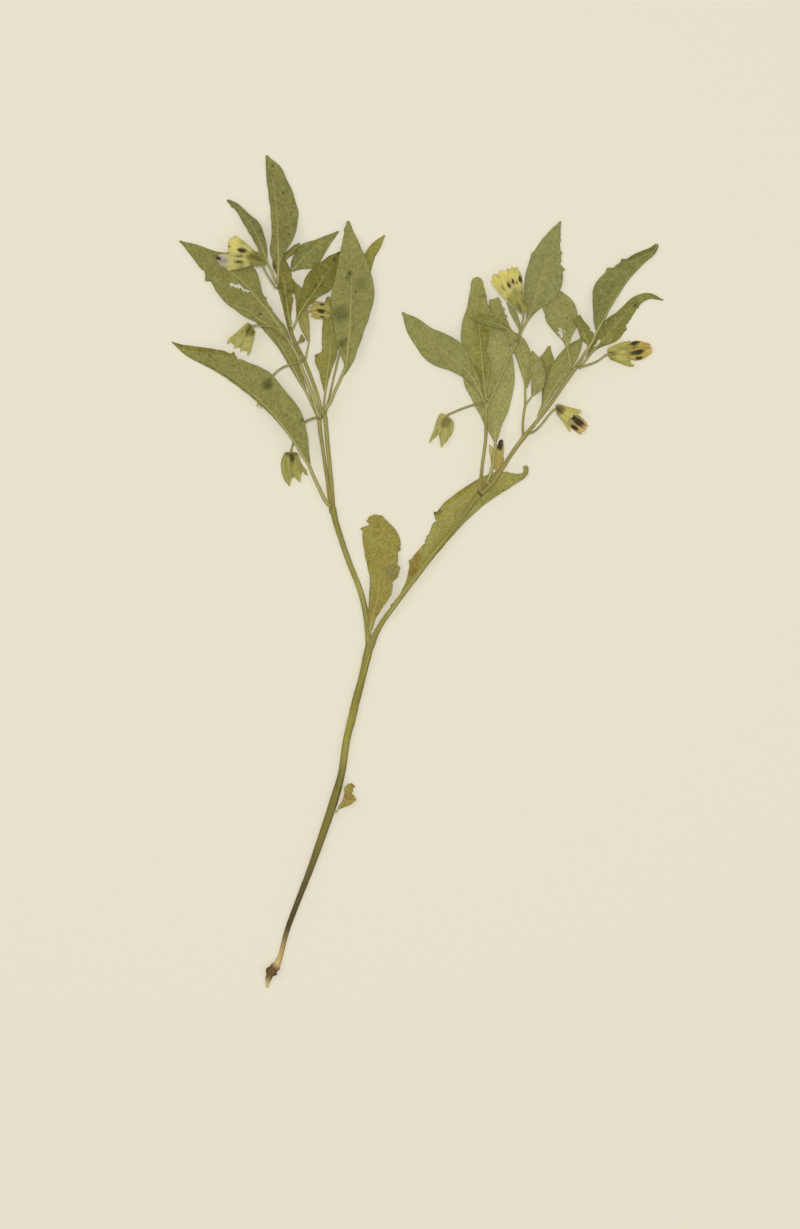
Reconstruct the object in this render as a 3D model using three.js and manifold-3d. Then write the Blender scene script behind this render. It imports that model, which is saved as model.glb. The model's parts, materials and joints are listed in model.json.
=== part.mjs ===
// A pressed flowering groundcherry, lying flat: one forked stem, its leaves, open flowers and spent calyces.
// Millimetres, +Z up. Plan positions are measured from the main fork of the stem, and the finished plant is
// centred on the origin, with its lowest face at z = 0.
import * as THREE from 'three';
import { mergeVertices } from 'three/addons/utils/BufferGeometryUtils.js';
import Module from 'manifold-3d';

// ---- Driving dimensions ----
const BLADE = 0.6; // thickness of a leaf, petal or calyx wall
const GAP = 0.32; // air between a piece and what it lies on
const AIR = 0.12; // clearance of a blade that carries no weight
const RIDGE = 0.3; // how far a midrib stands above its blade at the foot
const RIDGE_FALL = 0.7; // share of the ridge that is gone at the tip
const CURL = 0.35; // how far a leaf's edge lifts at most
const CURL_WAVES = 11; // how fast the curl changes along a blade
const CURL_LEAN = 2; // how far the curl of one edge differs from the other's
const TOOTH_ROUND = 0.85; // how round the teeth of a calyx are: 1 is straight-sided
const PLEAT = 0.5; // depth of the folds in a corolla
const STALK = 0.6; // half-width of a leaf stalk
const PEDICEL = 0.4; // half-width of a calyx's stalk
const TIP = 0.3; // half-width left at a leaf's tip
const DRAPE = 0.36; // steepest slope at which a piece comes down beside what lifts it
const ROW = 3.6; // length of one row of a blade
const BLADE_ROWS = 4; // fewest rows of a blade
const ACROSS = 5; // points across a leaf
const FOLDS = 9; // points across a calyx or corolla
const STEM_STEP = 4.5; // length of one row of the stem
const STRAND_ROWS = 3; // fewest rows of a strand
const STRAND_LEAST = 0.5; // height of the thinnest strand
const STRAND_RISE = 0.45; // what each millimetre of width adds to a strand's height
const PROBES = 8; // places probed each way under one quad of a blade

// Stem strands, each a list of [x, y, width] from its foot to its head. They are pressed to an oval section.
const STRANDS = {
  root: [
    [-37.6, -126.4, 0.9], [-37, -122.6, 2.2], [-35.8, -120, 4.2], [-34.2, -118, 3],
    [-32.6, -114.6, 1.7],
  ],
  main: [
    [-33.4, -117.6, 1.6], [-32.1, -112.4, 1.7], [-30.2, -105.1, 1.8], [-26.1, -94, 2],
    [-21.8, -82.9, 2.3], [-16.6, -68.2, 2.8], [-12.9, -57.1, 3.1], [-10.3, -47.9, 2.6],
    [-8.3, -35, 2.6], [-6.5, -27.6, 2.9], [-4.8, -20.3, 2.9], [-2.8, -12.9, 2.6], [-1.1, -5.5, 2.9],
    [0.3, 0.4, 3],
  ],
  left_branch: [
    [0, -1, 2.4], [-0.5, 5, 2.1], [-1.5, 12.9, 2.1], [-3.4, 20.3, 2], [-7.4, 30.6, 2],
    [-10.2, 38.7, 2], [-12.5, 46.1, 2.1], [-13.4, 50.5, 2.4],
  ],
  left_inner: [
    [-13.1, 48.6, 1.6], [-14, 60.8, 1.5], [-15.1, 71.9, 1.5], [-16.2, 83.7, 1.6], [-16.6, 86, 1.5],
  ],
  left_outer: [
    [-13.9, 48.6, 1.4], [-15.4, 60.8, 1.3], [-17, 71.9, 1.3], [-18.2, 83, 1.6], [-17.2, 86, 1.5],
  ],
  left_upper: [
    [-17.3, 83.6, 1.6], [-18.8, 91, 1.4], [-20.6, 96.6, 1.3], [-24, 105.1, 1.4], [-27.3, 111.7, 1.3],
    [-28.8, 115.4, 1.5], [-31, 123.5, 1.2], [-32.4, 129, 1.2], [-33.2, 132.4, 1.5],
  ],
  right_branch: [
    [0.4, -1, 2.6], [2.6, 4.4, 2.1], [5.4, 9.2, 1.8], [8.3, 13.1, 1.7], [13.6, 20.3, 1.7],
    [18.1, 26.2, 1.8], [25.1, 35.4, 1.9], [32.4, 44.6, 1.8], [38.9, 53.4, 1.8], [41.4, 56.4, 2.4],
  ],
  right_inner: [
    [40.8, 54.8, 1.5], [41.2, 61, 1.2], [41.7, 66.3, 1.1], [42.9, 75.6, 1.1], [43.1, 84.8, 1.2],
    [43, 89, 1.6],
  ],
  right_outer: [
    [41, 55.4, 1.6], [44.6, 58.6, 1.5], [48.3, 63.8, 1.4], [52, 69.7, 1.4], [56.8, 76.3, 1.7],
    [58.9, 78.9, 1.4], [64.9, 86.3, 1.3], [70.4, 94, 1.3], [75.2, 101, 1.5], [76.9, 103.2, 1.6],
    [78.4, 105.4, 1.2],
  ],
  crown_twig: [
    [43, 86.6, 1.2], [44.7, 90.6, 1.1], [47.2, 96.2, 1.1], [50.9, 104.3, 1.1], [54.7, 112, 1.2],
  ],
  leaflet_twig: [[56.8, 75.8, 1.1], [56.6, 81.1, 0.9], [57.1, 85.9, 0.9], [57.6, 88.6, 1]],
};

// Leaves. rib: plan points from the foot of the stalk to the tip. stalk: bare length before the blade. left,
// right: half-widths of the blade at even steps, seen from the foot. teeth: [share of the blade, side, size],
// with a notch where the size is negative. air: clearance, where it isn't AIR. A side that is folded under
// has almost no width.
const LEAVES = {
  leaf_behind: {
    rib: [
      [-10.7, 108.8], [-8.5, 114.3], [-5.5, 121.6], [-2.6, 130.9], [0.4, 140.4], [2.9, 146.3],
      [5.9, 151.1],
    ],
    stalk: 8.5, color: 0x89873f,
    left: [0.4, 1.2, 1.5, 1.9, 2.4, 2.9, 3.1, 2.1, 0], right: [0.4, 1.6, 2, 1.9, 1.7, 1.2, 0.8, 1.1, 0],
  },
  leaf_notched: {
    rib: [
      [-17, 85], [-16.6, 88], [-16.1, 93.3], [-15.5, 98.4], [-14.7, 104.3], [-14, 112.4], [-14, 120.5],
      [-15.1, 128.6],
    ],
    stalk: 8, color: 0x8b8542,
    left: [0.4, 1.2, 2.2, 3, 4.2, 5.2, 5, 3.1, 3.4, 3.4, 3.4, 3.3, 3.2, 3, 2.6, 1.6, 0],
    right: [0.4, 0.5, 0.7, 1, 1.4, 1.9, 2.4, 2.7, 3, 3.2, 3.4, 3.5, 3.4, 3.2, 2.8, 1.6, 0],
    teeth: [[0.38, 'left', 0.6]],
  },
  leaf_inner: {
    rib: [
      [-23.4, 104.6], [-22.9, 107.6], [-22.2, 111.4], [-22.9, 116.1], [-24.3, 121.6], [-25.8, 127.2],
      [-28, 134.2],
    ],
    stalk: 7, color: 0x948d4b,
    left: [0.4, 1.4, 2.1, 2.3, 2.1, 1.6, 1, 0.8, 0], right: [0.4, 0.7, 1.3, 1.9, 2.3, 2.5, 2.4, 2, 0],
  },
  leaf_ovate: {
    rib: [
      [-32.4, 133.2], [-30.6, 135], [-28.8, 137.5], [-25.8, 140.8], [-21.8, 144.9], [-16.6, 148.9],
      [-11.1, 152.6],
    ],
    stalk: 5.8, color: 0x7f7d42,
    left: [0.4, 2.5, 3.7, 4.2, 3.3, 2.2, 1.4, 0.7, 0], right: [0.4, 2.2, 4.8, 5.6, 5, 3.8, 2.5, 1.5, 0],
  },
  leaf_dark: {
    rib: [
      [-28, 116.3], [-27.3, 117.8], [-25.8, 121.3], [-23.2, 125.7], [-20.3, 129.7], [-17, 134.9],
      [-13.6, 140.1], [-10.3, 144.9],
    ],
    stalk: 4, color: 0x756f2e,
    left: [0.4, 1.8, 3.3, 4.7, 5.6, 5.3, 3.9, 2.6, 0], right: [0.4, 1, 1.7, 2.5, 4.4, 4.7, 3.5, 1.9, 0],
  },
  leaf_big: {
    rib: [
      [-16, 86.9], [-14.2, 89.4], [-12.6, 93.3], [-10.4, 98], [-8.5, 102.9], [-7.7, 108.8],
      [-7, 116.9], [-6.6, 125.4], [-6.3, 134.6], [-6.3, 141.2], [-7, 148.6], [-7.7, 156.4],
    ],
    stalk: 13.6, color: 0x8a874c,
    left: [0.4, 0.5, 2.1, 3.9, 5, 6, 6.8, 7.2, 7.3, 7.1, 6.3, 5.5, 4.8, 3.8, 2.7, 1.5, 0.4],
    right: [0.5, 1.6, 2.9, 3.6, 4.6, 5.4, 6.7, 7.6, 8.3, 8.4, 7.6, 6.6, 5.5, 3.9, 2.8, 1.5, 0.4],
    teeth: [[0.95, 'left', 0.6]],
  },
  leaf_small: {
    rib: [[-32.9, 133.4], [-32, 136.4], [-31.7, 139.7], [-30.6, 142.3], [-28.4, 144.9], [-25.4, 148.2]],
    stalk: 7.7, color: 0x7d783c,
    left: [0.4, 1.8, 1.5, 1.2, 0.9, 0], right: [0.4, 0.5, 1, 1.1, 1, 0],
  },
  leaf_under: {
    rib: [
      [-18.6, 84], [-20.6, 88], [-22.6, 92.2], [-25, 96.4], [-28.4, 102.9], [-32, 109.3], [-36, 115.6],
      [-41.3, 121.6], [-46.8, 125.7], [-53.5, 128.3],
    ],
    stalk: 9.9, color: 0x8b8649,
    left: [0.4, 0.6, 1, 1.1, 1.7, 2, 2.4, 2.1, 0], right: [0.4, 1.9, 3.4, 4.1, 4.2, 3.9, 3.3, 1.9, 0],
  },
  leaf_broad: {
    rib: [
      [-18.4, 84.2], [-19.6, 87], [-20.5, 90.8], [-22.4, 96.2], [-24.5, 101], [-26.2, 106.2],
      [-28.8, 110.6], [-31.7, 115.4], [-34.3, 119], [-37.2, 123.1], [-40.5, 126.8], [-43.9, 130.9],
      [-47.6, 134.9], [-52, 138.2], [-57.9, 141.5], [-64.2, 145.6], [-70, 149],
    ],
    stalk: 28, color: 0x848145,
    left: [0.4, 2, 5.8, 8.4, 9.9, 8.9, 5.3, 2.8, 0], right: [0.4, 1.8, 1.3, 2.9, 6.2, 6.9, 4.1, 2.3, 0],
    teeth: [[0.73, 'left', 1.8], [0.8, 'left', -0.5], [0.34, 'right', 0.6]],
  },
  leaf_torn: {
    rib: [[-26.2, 111], [-24.9, 112], [-23.7, 112.9]],
    stalk: 0, color: 0x777032,
    left: [0.3, 0.6, 1.2, 1.5], right: [0.3, 0.5, 0.8, 0.6],
  },
  leaf_long: {
    rib: [
      [-15, 51.6], [-16.4, 53.8], [-18.4, 57.9], [-20.3, 61.9], [-22, 66], [-24.4, 69.8],
      [-27.3, 74.6], [-31, 79.6], [-35.8, 85.5], [-41, 90.7], [-46.6, 95.6], [-52, 99.5],
      [-57.9, 102.8], [-64.2, 106.5], [-69, 109.1], [-72.8, 111.7],
    ],
    stalk: 15.6, color: 0x898648, air: 0,
    left: [0.4, 0.4, 0.5, 0.8, 1.2, 1.4, 1.1, 1.5, 0],
    right: [0.4, 4.7, 8.4, 9.1, 10, 7.7, 6.6, 3.3, 0],
    teeth: [[0.66, 'right', -0.8], [0.7, 'right', 1.2]],
  },
  leaf_axil: {
    rib: [
      [-28.6, 117], [-28.9, 118.6], [-29.5, 120.9], [-30.2, 126.1], [-31, 131.6], [-32, 137.5],
      [-34.3, 143.8],
    ],
    stalk: 1, color: 0x787132,
    left: [0.5, 0.9, 1.2, 1.3, 1.3, 1.5, 2.4, 2.4, 0.9],
    right: [0.5, 0.9, 1.9, 2.6, 3.5, 3.2, 3, 2.6, 0.9],
    teeth: [[0.4, 'right', -0.8], [0.6, 'right', 0.6]],
  },
  leaf_top: {
    rib: [
      [-33.4, 133.8], [-33.2, 141.2], [-33.5, 149.3], [-33.9, 156.7], [-34.6, 165.9], [-36.1, 174],
      [-38, 180.6],
    ],
    stalk: 5, color: 0x7f7c44,
    left: [0.4, 3, 2.4, 2.1, 2.2, 2.4, 2.3, 1.5, 0], right: [0.4, 2.3, 5.7, 7.5, 7.9, 6.7, 5.3, 3.7, 0],
  },
  leaf_narrow: {
    rib: [
      [-34.3, 133.4], [-35.8, 137.5], [-37.6, 141.2], [-39.4, 146.7], [-42.4, 153], [-45.7, 158.1],
      [-49, 161.8], [-52.4, 164],
    ],
    stalk: 8.6, color: 0x7b7844,
    left: [0.4, 1.5, 1.8, 2, 2.1, 2.1, 1.5, 1, 0.6], right: [0.4, 1.4, 2.1, 2.7, 2.9, 1.8, 1.3, 1, 0.5],
    teeth: [[0.9, 'left', 0.5]],
  },
  leaf_bract: {
    rib: [
      [8.5, 14.4], [11.4, 17.3], [16.6, 24], [21.7, 30.2], [27.3, 36.9], [32.8, 43.5], [38.3, 49.8],
      [43.5, 54.6], [49, 58.6], [54.8, 61.6], [57.4, 63.4], [57.9, 66.3],
    ],
    stalk: 1.2, color: 0x99934c,
    left: [0.5, 1, 1.7, 3.2, 5.4, 5.7, 5.8, 6.7, 7.9, 9.4, 9.6, 8.9, 8.2, 7.4, 6.8, 5.4, 3, 0.7, 1.3],
    right: [0.5, 0.6, 0.5, 0.5, 0.5, 0.5, 0.5, 0.5, 0.6, 0.7, 0.9, 1.3, 1.5, 1.8, 2, 2.1, 1.7, 1.3, 0.8],
    teeth: [[0.22, 'left', 0.8], [0.35, 'left', -0.5], [0.46, 'left', -0.8], [0.5, 'left', 0.9]],
  },
  leaf_wide: {
    rib: [
      [43.4, 60], [45, 63.8], [46.1, 70], [46.6, 75.6], [46.1, 84.8], [45, 94], [44.2, 103.2],
      [43.9, 112.4], [43.5, 119.8],
    ],
    stalk: 15, color: 0x9c985a,
    left: [0.4, 3.3, 5.5, 7.6, 9.6, 9.8, 8.1, 5.8, 0],
    right: [0.4, 2.4, 5.4, 7.7, 9.1, 9.1, 8.4, 7.1, 0],
  },
  leaf_wedge: {
    rib: [[62.3, 84.4], [64.1, 89.6], [65.2, 94.7], [66.1, 102.1], [66.7, 110.4]],
    stalk: 5, color: 0x888243,
    left: [0.4, 0.9, 1.6, 2.3, 3, 3.6, 3.8, 2, 0], right: [0.4, 0.6, 0.9, 1.1, 1.5, 2.1, 1.9, 0.9, 0],
  },
  leaf_stemside: {
    rib: [
      [60.8, 80.4], [62.7, 84.4], [65.2, 89.9], [68.9, 96.2], [72.6, 102.5], [76.3, 108.4],
      [78.9, 113.2],
    ],
    stalk: 8, color: 0x8c894b,
    left: [0.4, 2, 3.4, 4.2, 4.6, 4.7, 4.2, 2.8, 0], right: [0.4, 1, 1.2, 1.7, 1.9, 2, 1.8, 1.1, 0],
  },
  leaf_hooked: {
    rib: [
      [78.1, 102.5], [80, 105.1], [82.2, 108], [85.9, 112.1], [89.9, 116.9], [94, 121.6], [98, 126.1],
      [102.8, 128.3], [108.6, 127],
    ],
    stalk: 3.2, color: 0x7e7c3c, air: 0,
    left: [0.4, 1, 1.7, 2.5, 3.3, 4.1, 3.8, 3, 2.6, 2.1, 2.1, 1.8, 1.4, 0.9, 0],
    right: [0.4, 0.5, 0.8, 1.9, 3.6, 4.4, 4.2, 3.2, 2.6, 2.4, 2, 1.3, 0.9, 0.5, 0],
    teeth: [[0.47, 'right', 0.6]],
  },
  leaf_crossing: {
    rib: [
      [57.6, 89.2], [57.6, 90.6], [57.5, 93.3], [57.5, 95.8], [56, 102.8], [54.2, 108.7], [51.6, 115],
      [49, 119.8], [47, 124], [45.9, 127.6],
    ],
    stalk: 5, color: 0x949052,
    left: [0.4, 0.5, 0.8, 1, 1.4, 1.6, 2.6, 2.8, 1.7],
    right: [0.4, 2.9, 4.6, 4.8, 4.1, 1.5, 1.7, 2.3, 2],
    teeth: [[0.8, 'right', 0.7]],
  },
  leaf_leaflet: {
    rib: [[58.4, 89.4], [60.1, 91.8], [61.2, 94.7], [61.9, 98.4], [61.9, 103.6], [60.2, 108.4]],
    stalk: 2.8, color: 0x928e55,
    left: [0.4, 1.2, 1.8, 2.1, 2.4, 2.6, 2.4, 1.7, 0], right: [0.4, 1.8, 2.9, 3, 3, 2.3, 1.8, 0.9, 0],
  },
  leaf_tall: {
    rib: [
      [43.1, 90.6], [42.8, 93.3], [42, 99.5], [41.3, 108.7], [40.5, 118], [40.2, 127.2], [39.8, 135.7],
    ],
    stalk: 1.5, color: 0x8e8b49,
    left: [0.4, 2.5, 4.4, 6.1, 7, 6, 4.1, 2.9, 1.8],
    right: [0.4, 2.2, 3.1, 2.1, 3.7, 6.2, 3.7, 2.7, 1.6],
  },
  leaf_outer: {
    rib: [
      [42.2, 90], [41.7, 91], [39.8, 95.1], [37.2, 99.5], [33.5, 103.2], [29.5, 106.5], [24.7, 110.2],
      [19.5, 114.6], [15.5, 118.7], [12.2, 122.7],
    ],
    stalk: 1.4, color: 0x8c8a4f,
    left: [0.4, 1.3, 2.7, 4.1, 6, 6.1, 4.5, 2.8, 0], right: [0.4, 2, 2.7, 5.8, 6.2, 5.2, 3.8, 2.9, 0],
  },
  leaf_sliver: {
    rib: [[53.9, 112.5], [52.3, 113.5], [50.9, 116.1], [47.2, 118], [42.4, 119.4], [37.2, 120.2]],
    stalk: 4.9, color: 0x7e7d3c,
    left: [0.4, 1.5, 1.7, 1.2, 0], right: [0.4, 1.7, 2.1, 1.7, 0],
  },
  leaf_needle: {
    rib: [[54.9, 112.9], [55.5, 115.4], [54.6, 118], [52.7, 122], [50.6, 126.2]],
    stalk: 3.4, color: 0x8c8952,
    left: [0.4, 0.6, 0.6, 0], right: [0.4, 1.3, 1.4, 0],
  },
  leaf_holed: {
    rib: [
      [74.7, 102], [74, 103], [73.7, 105.1], [73, 109.5], [71.9, 114.3], [70.8, 119.1], [69.7, 123.5],
      [67.5, 127.5], [64.9, 130.5],
    ],
    stalk: 7.7, color: 0x928f54,
    left: [0.4, 1.2, 2.7, 4.3, 5.3, 5.3, 4.9, 3.6, 0],
    right: [0.4, 1.9, 4.2, 5.9, 6.5, 6.4, 5.5, 3.6, 0],
  },
  leaf_curled: {
    rib: [[78.9, 106.2], [80, 107.6], [80.6, 110.6], [78.8, 115.4], [76.2, 120.9]],
    stalk: 4.8, color: 0x7e7a3d,
    left: [0.4, 1.7, 1.5, 1.5, 1.4], right: [0.4, 3.2, 2.8, 1.9, 1.5],
    teeth: [[0.4, 'right', -0.6]],
  },
  leaf_crown: {
    rib: [
      [55.1, 112.9], [56.2, 115.6], [57.9, 118.7], [59.7, 123.1], [61.2, 128.3], [62.7, 133.1],
      [64.1, 138.2], [66, 143.8], [68.2, 150], [70.8, 156.3],
    ],
    stalk: 7, color: 0x8c8a51,
    left: [0.4, 2.1, 4.3, 5.5, 5.8, 5.6, 4.3, 2.5, 0],
    right: [0.4, 2.3, 6.6, 8.1, 7.7, 5.7, 3.5, 1.8, 0],
    teeth: [[0.3, 'right', 0.5], [0.58, 'right', 1], [0.72, 'right', 0.6]],
  },
  leaf_upper: {
    rib: [
      [78.9, 106.6], [79.6, 107.6], [82, 111.3], [84.4, 116.2], [86.4, 119.9], [89, 124.8],
      [92.2, 130], [96.2, 135.7], [100.9, 140.9], [104.4, 144.6], [106.5, 147.8],
    ],
    stalk: 10, color: 0x7c7b42,
    left: [0.4, 3, 4.6, 6.3, 7.9, 9, 9, 8.3, 7.2, 6.1, 5, 4.3, 3.1, 1.7, 0.6],
    right: [0.4, 0.4, 0.5, 0.4, 0.4, 0.4, 0.4, 0.4, 0.4, 0.4, 0.5, 0.6, 0.9, 1.1, 0.5],
    teeth: [[0.55, 'left', 0.8], [0.62, 'left', -0.4], [0.7, 'left', 0.9]],
  },
  leaf_fork: {
    rib: [
      [0.4, 4.4], [0.9, 8], [1.6, 11.4], [2.7, 15.4], [3.5, 19.5], [3.9, 24], [3.7, 28.5], [3.1, 33.5],
      [2.6, 38.5], [2.3, 43.5], [2, 48.1],
    ],
    stalk: 1.2, color: 0x958a41,
    left: [1, 1.3, 2, 2.7, 3.2, 3.4, 3.6, 3.8, 4.3, 4.6, 4.7, 5, 4.6, 2.9, 1.2],
    right: [0.8, 1.1, 1.7, 2.7, 4, 4.8, 5.4, 7.4, 7.2, 7.9, 8.9, 8.8, 7.5, 4.9, 2],
    teeth: [[0.42, 'right', -0.5], [0.5, 'right', 0.6], [0.65, 'right', -0.6], [0.89, 'left', 1.6]],
  },
  leaf_basal: {
    rib: [[-12.2, -61.6], [-10.7, -59.7], [-8.8, -57.5], [-7.4, -54.6], [-6.3, -50.9]],
    stalk: 2, color: 0x9d8a42,
    left: [0.5, 0.8, 1.2, 1.6, 2.2, 0.5], right: [0.5, 1.5, 2.7, 3.5, 1, 0.5],
  },
};

// Calyces, each a cup pressed flat on its own stalk. valley: how far the mouth reaches between its teeth, as
// a share of the rib. front, back: the teeth of its two sides, each [place across from -1 at the left,
// reach, half-width].
const FIVE_TEETH = [[-0.9, 1, 0.26], [-0.45, 1.04, 0.26], [0, 1, 0.26], [0.45, 1.03, 0.26], [0.9, 1, 0.26]];
const CALYCES = {
  calyx_hidden: {
    rib: [[41.6, 57.8], [44.2, 59.6], [46.3, 61.6], [47.2, 64.8], [47.3, 69.2]],
    stalk: 9.2,
    left: [1.4, 2.2, 2.4], right: [1.4, 2.2, 2.4],
    valley: 0.8,
    front: FIVE_TEETH,
    back: FIVE_TEETH,
  },
  calyx_shaded: {
    rib: [
      [-15.9, 85.6], [-14.7, 91], [-12.9, 98.8], [-11.1, 106.6], [-9.4, 115], [-9.6, 120.4],
      [-12, 122.6], [-14.4, 122.9],
    ],
    stalk: 35,
    left: [1.2, 1.9, 2.4], right: [1.2, 1.8, 2.2],
    valley: 0.8,
    front: FIVE_TEETH,
    back: FIVE_TEETH,
  },
  calyx_top: {
    rib: [[-34.3, 131.2], [-36.2, 134.2], [-38.4, 138], [-39.4, 140.4], [-42.6, 142.2]],
    stalk: 9.4,
    left: [1.3, 2.3, 2.6], right: [1.3, 2.3, 2.6],
    valley: 0.78,
    front: FIVE_TEETH,
    back: FIVE_TEETH,
  },
  calyx_crown: {
    rib: [[54.9, 112.9], [55.5, 115.4], [56.5, 119], [56.8, 122], [54.9, 126], [53.4, 129.2]],
    stalk: 9.3,
    left: [1.3, 2.4, 3], right: [1.3, 2.4, 2.8],
    valley: 0.72,
    front: FIVE_TEETH,
    back: FIVE_TEETH,
  },
  calyx_outer: {
    rib: [
      [77.6, 102], [79.6, 102.8], [82.2, 103.6], [85.1, 105.1], [87.6, 106.9], [92.5, 107.5],
      [97.2, 107.5],
    ],
    stalk: 11.6,
    left: [1.9, 3, 3.9, 4.4], right: [1.9, 3, 4.2, 4.9],
    valley: 0.7,
    front: [[-0.9, 0.9, 0.5], [0.1, 0.82, 0.5], [0.95, 1.04, 0.6], [0.62, 0.92, 0.2]],
    back: FIVE_TEETH,
  },
  calyx_low: {
    rib: [
      [59.3, 77.9], [61.2, 78.9], [63.4, 81.1], [66, 84.4], [67.6, 86.2], [69.2, 86.9], [72.6, 84.8],
      [76.4, 82.2],
    ],
    stalk: 13.2,
    left: [1.6, 2.4, 3.3, 4.1], right: [1.6, 2.1, 3, 4.2],
    valley: 0.7,
    front: [[-1, 0.84, 0.26], [-0.6, 0.95, 0.26], [-0.1, 0.78, 0.3], [1, 1.03, 0.5]],
    back: FIVE_TEETH,
  },
  calyx_left: {
    rib: [
      [-25.7, 107.7], [-28.9, 111.7], [-33.9, 116.5], [-39.4, 117.4], [-42.2, 117.4], [-43.8, 116.2],
      [-45.9, 112.7], [-48.4, 108.4],
    ],
    stalk: 21.2,
    left: [2.1, 2.9, 3.5, 4.3], right: [2.1, 2.8, 3.7, 4.7],
    valley: 0.76,
    front: [[-1, 0.98, 0.3], [-0.28, 1, 0.26], [0.26, 1.01, 0.28], [0.98, 0.97, 0.36]],
    back: [[-0.6, 0.9, 0.3], [0, 0.9, 0.3], [0.6, 0.9, 0.3]],
  },
  calyx_nodding: {
    rib: [
      [-19.8, 83.6], [-23.2, 82.2], [-26, 78.8], [-27.6, 75], [-28.6, 71.6], [-28.5, 68.2], [-28, 64],
      [-26.9, 59.4],
    ],
    stalk: 16.3,
    left: [2.5, 2.9, 3.6, 4.8], right: [2.3, 3.7, 4.1, 3.5],
    valley: 0.63,
    front: [[-1, 0.84, 0.34], [-0.3, 1, 0.42], [0.72, 1.03, 0.64]],
    back: [[0.2, 0.82, 0.5]],
  },
  calyx_middle: {
    rib: [
      [41.5, 88.9], [38.3, 88.3], [34.3, 87], [30.6, 85.5], [29.1, 84.8], [28.3, 83.6], [27.5, 80.2],
      [26.5, 76.5], [25.5, 72.8],
    ],
    stalk: 13.6,
    left: [2.6, 3.4, 3.6, 3.3], right: [2.5, 3.1, 3.2, 3.6],
    valley: 0.6,
    front: [[0.98, 0.93, 0.6], [-0.33, 1, 0.58]],
    back: [[0.9, 0.84, 0.6], [-0.3, 0.9, 0.5]],
  },
  calyx_veiled: {
    rib: [
      [-24.9, 104.5], [-26.4, 103.9], [-29.1, 103], [-31.7, 102.1], [-35, 99.5], [-37.4, 95.5],
      [-38.2, 91.2], [-38.8, 87],
    ],
    stalk: 14.4,
    left: [1.4, 2.2, 2.6, 2.7], right: [1.4, 2.2, 2.5, 2.7],
    valley: 0.8,
    front: FIVE_TEETH,
    back: FIVE_TEETH,
  },
};

// Corollas, each a pleated funnel pressed to a fan, which starts inside its calyx. ends: how far the mouth
// reaches at even places across, from the left side to the right, as a share of the rib.
const COROLLAS = {
  corolla_hidden: {
    rib: [[47.1, 65.2], [47.2, 69.3], [47.4, 75.6]],
    color: 0xb8aa62,
    left: [1.2, 2, 2.8, 3], right: [1.2, 2, 2.4, 2.1],
    ends: [0.82, 0.78, 0.66, 0.62, 0.8, 0.96, 1, 1.02, 0.98],
  },
  corolla_shaded: {
    rib: [[-11.8, 121.8], [-16.6, 123.1], [-22.2, 123.6]],
    color: 0xa99b55,
    left: [0.9, 2.2, 3, 3.3], right: [0.9, 2, 2.9, 3.1],
    ends: [0.75, 0.9, 0.86, 1, 0.92, 1, 0.86, 0.92, 0.8],
  },
  corolla_top: {
    rib: [[-39.2, 141.4], [-45.7, 142.6], [-52.8, 144.3]],
    color: 0xbaaf67,
    left: [1.2, 2.8, 4.4, 5.9], right: [1.2, 3.1, 5.2, 6.7],
    ends: [0.84, 1.1, 1.2, 1.17, 0.97, 0.95, 0.98, 0.97, 0.88],
  },
  corolla_crown: {
    rib: [[55.4, 123.6], [53, 130.7], [51.2, 138.2]],
    color: 0xc2b66c,
    left: [1.2, 2.7, 4.4, 5.8, 6.9], right: [1.2, 2.4, 3.5, 4, 4.2],
    ends: [0.82, 0.96, 0.98, 0.98, 1.03, 1.01, 1.02, 1.01, 0.86],
  },
  corolla_outer: {
    rib: [[94.4, 107.5], [99.3, 108.4], [104.2, 109.3]],
    color: 0xaa994c,
    left: [1.2, 3.4, 3.7, 2.7], right: [1.2, 3.1, 3.4, 2.5],
    ends: [0.78, 0.92, 0.98, 0.94, 1.02, 0.96, 1, 0.92, 0.8],
  },
  corolla_low: {
    rib: [[71.9, 84.8], [76.2, 82], [79.9, 78.8]],
    color: 0xad9b64,
    left: [0.9, 2.3, 2.7, 2.3], right: [0.9, 2.3, 2.7, 2.3],
    ends: [0.86, 0.94, 0.9, 0.98, 0.92, 1, 0.9, 0.96, 0.92],
  },
};

// What lies lowest comes first.
const LYING_ORDER = [
  'leaf_bract', 'corolla_hidden', 'calyx_hidden', 'leaf_wide', 'leaf_wedge', 'leaf_hooked',
  'leaf_crossing', 'stem', 'leaf_behind', 'leaf_notched', 'corolla_shaded', 'calyx_shaded', 'leaf_inner',
  'leaf_ovate', 'leaf_dark', 'leaf_big', 'leaf_small', 'leaf_under', 'leaf_broad', 'leaf_torn',
  'calyx_left', 'calyx_veiled', 'calyx_nodding', 'leaf_long', 'leaf_axil', 'leaf_top', 'leaf_narrow',
  'corolla_top', 'calyx_top', 'leaf_stemside', 'leaf_leaflet', 'leaf_tall', 'leaf_outer', 'leaf_sliver',
  'calyx_middle', 'leaf_holed', 'leaf_curled', 'leaf_crown', 'leaf_needle', 'corolla_crown',
  'calyx_crown', 'corolla_outer', 'calyx_outer', 'corolla_low', 'calyx_low', 'leaf_upper', 'leaf_fork',
  'leaf_basal',
];

// ---- How pieces lie on each other ----
// A map of square cells: how high the pieces laid so far reach, and the lowest a new piece can lie over each
// cell.
const CELL = 0.4; // side of a cell
const MAP_LOW = [-82, -136]; // plan place of the first cell
const MAP_COLUMNS = 510;
const MAP_ROWS = 815;
const reached = new Float32Array(MAP_COLUMNS * MAP_ROWS);
const drape = new Float32Array(MAP_COLUMNS * MAP_ROWS);

function cellAt(x, y) {
  return Math.round((y - MAP_LOW[1]) / CELL) * MAP_COLUMNS + Math.round((x - MAP_LOW[0]) / CELL);
}

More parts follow.
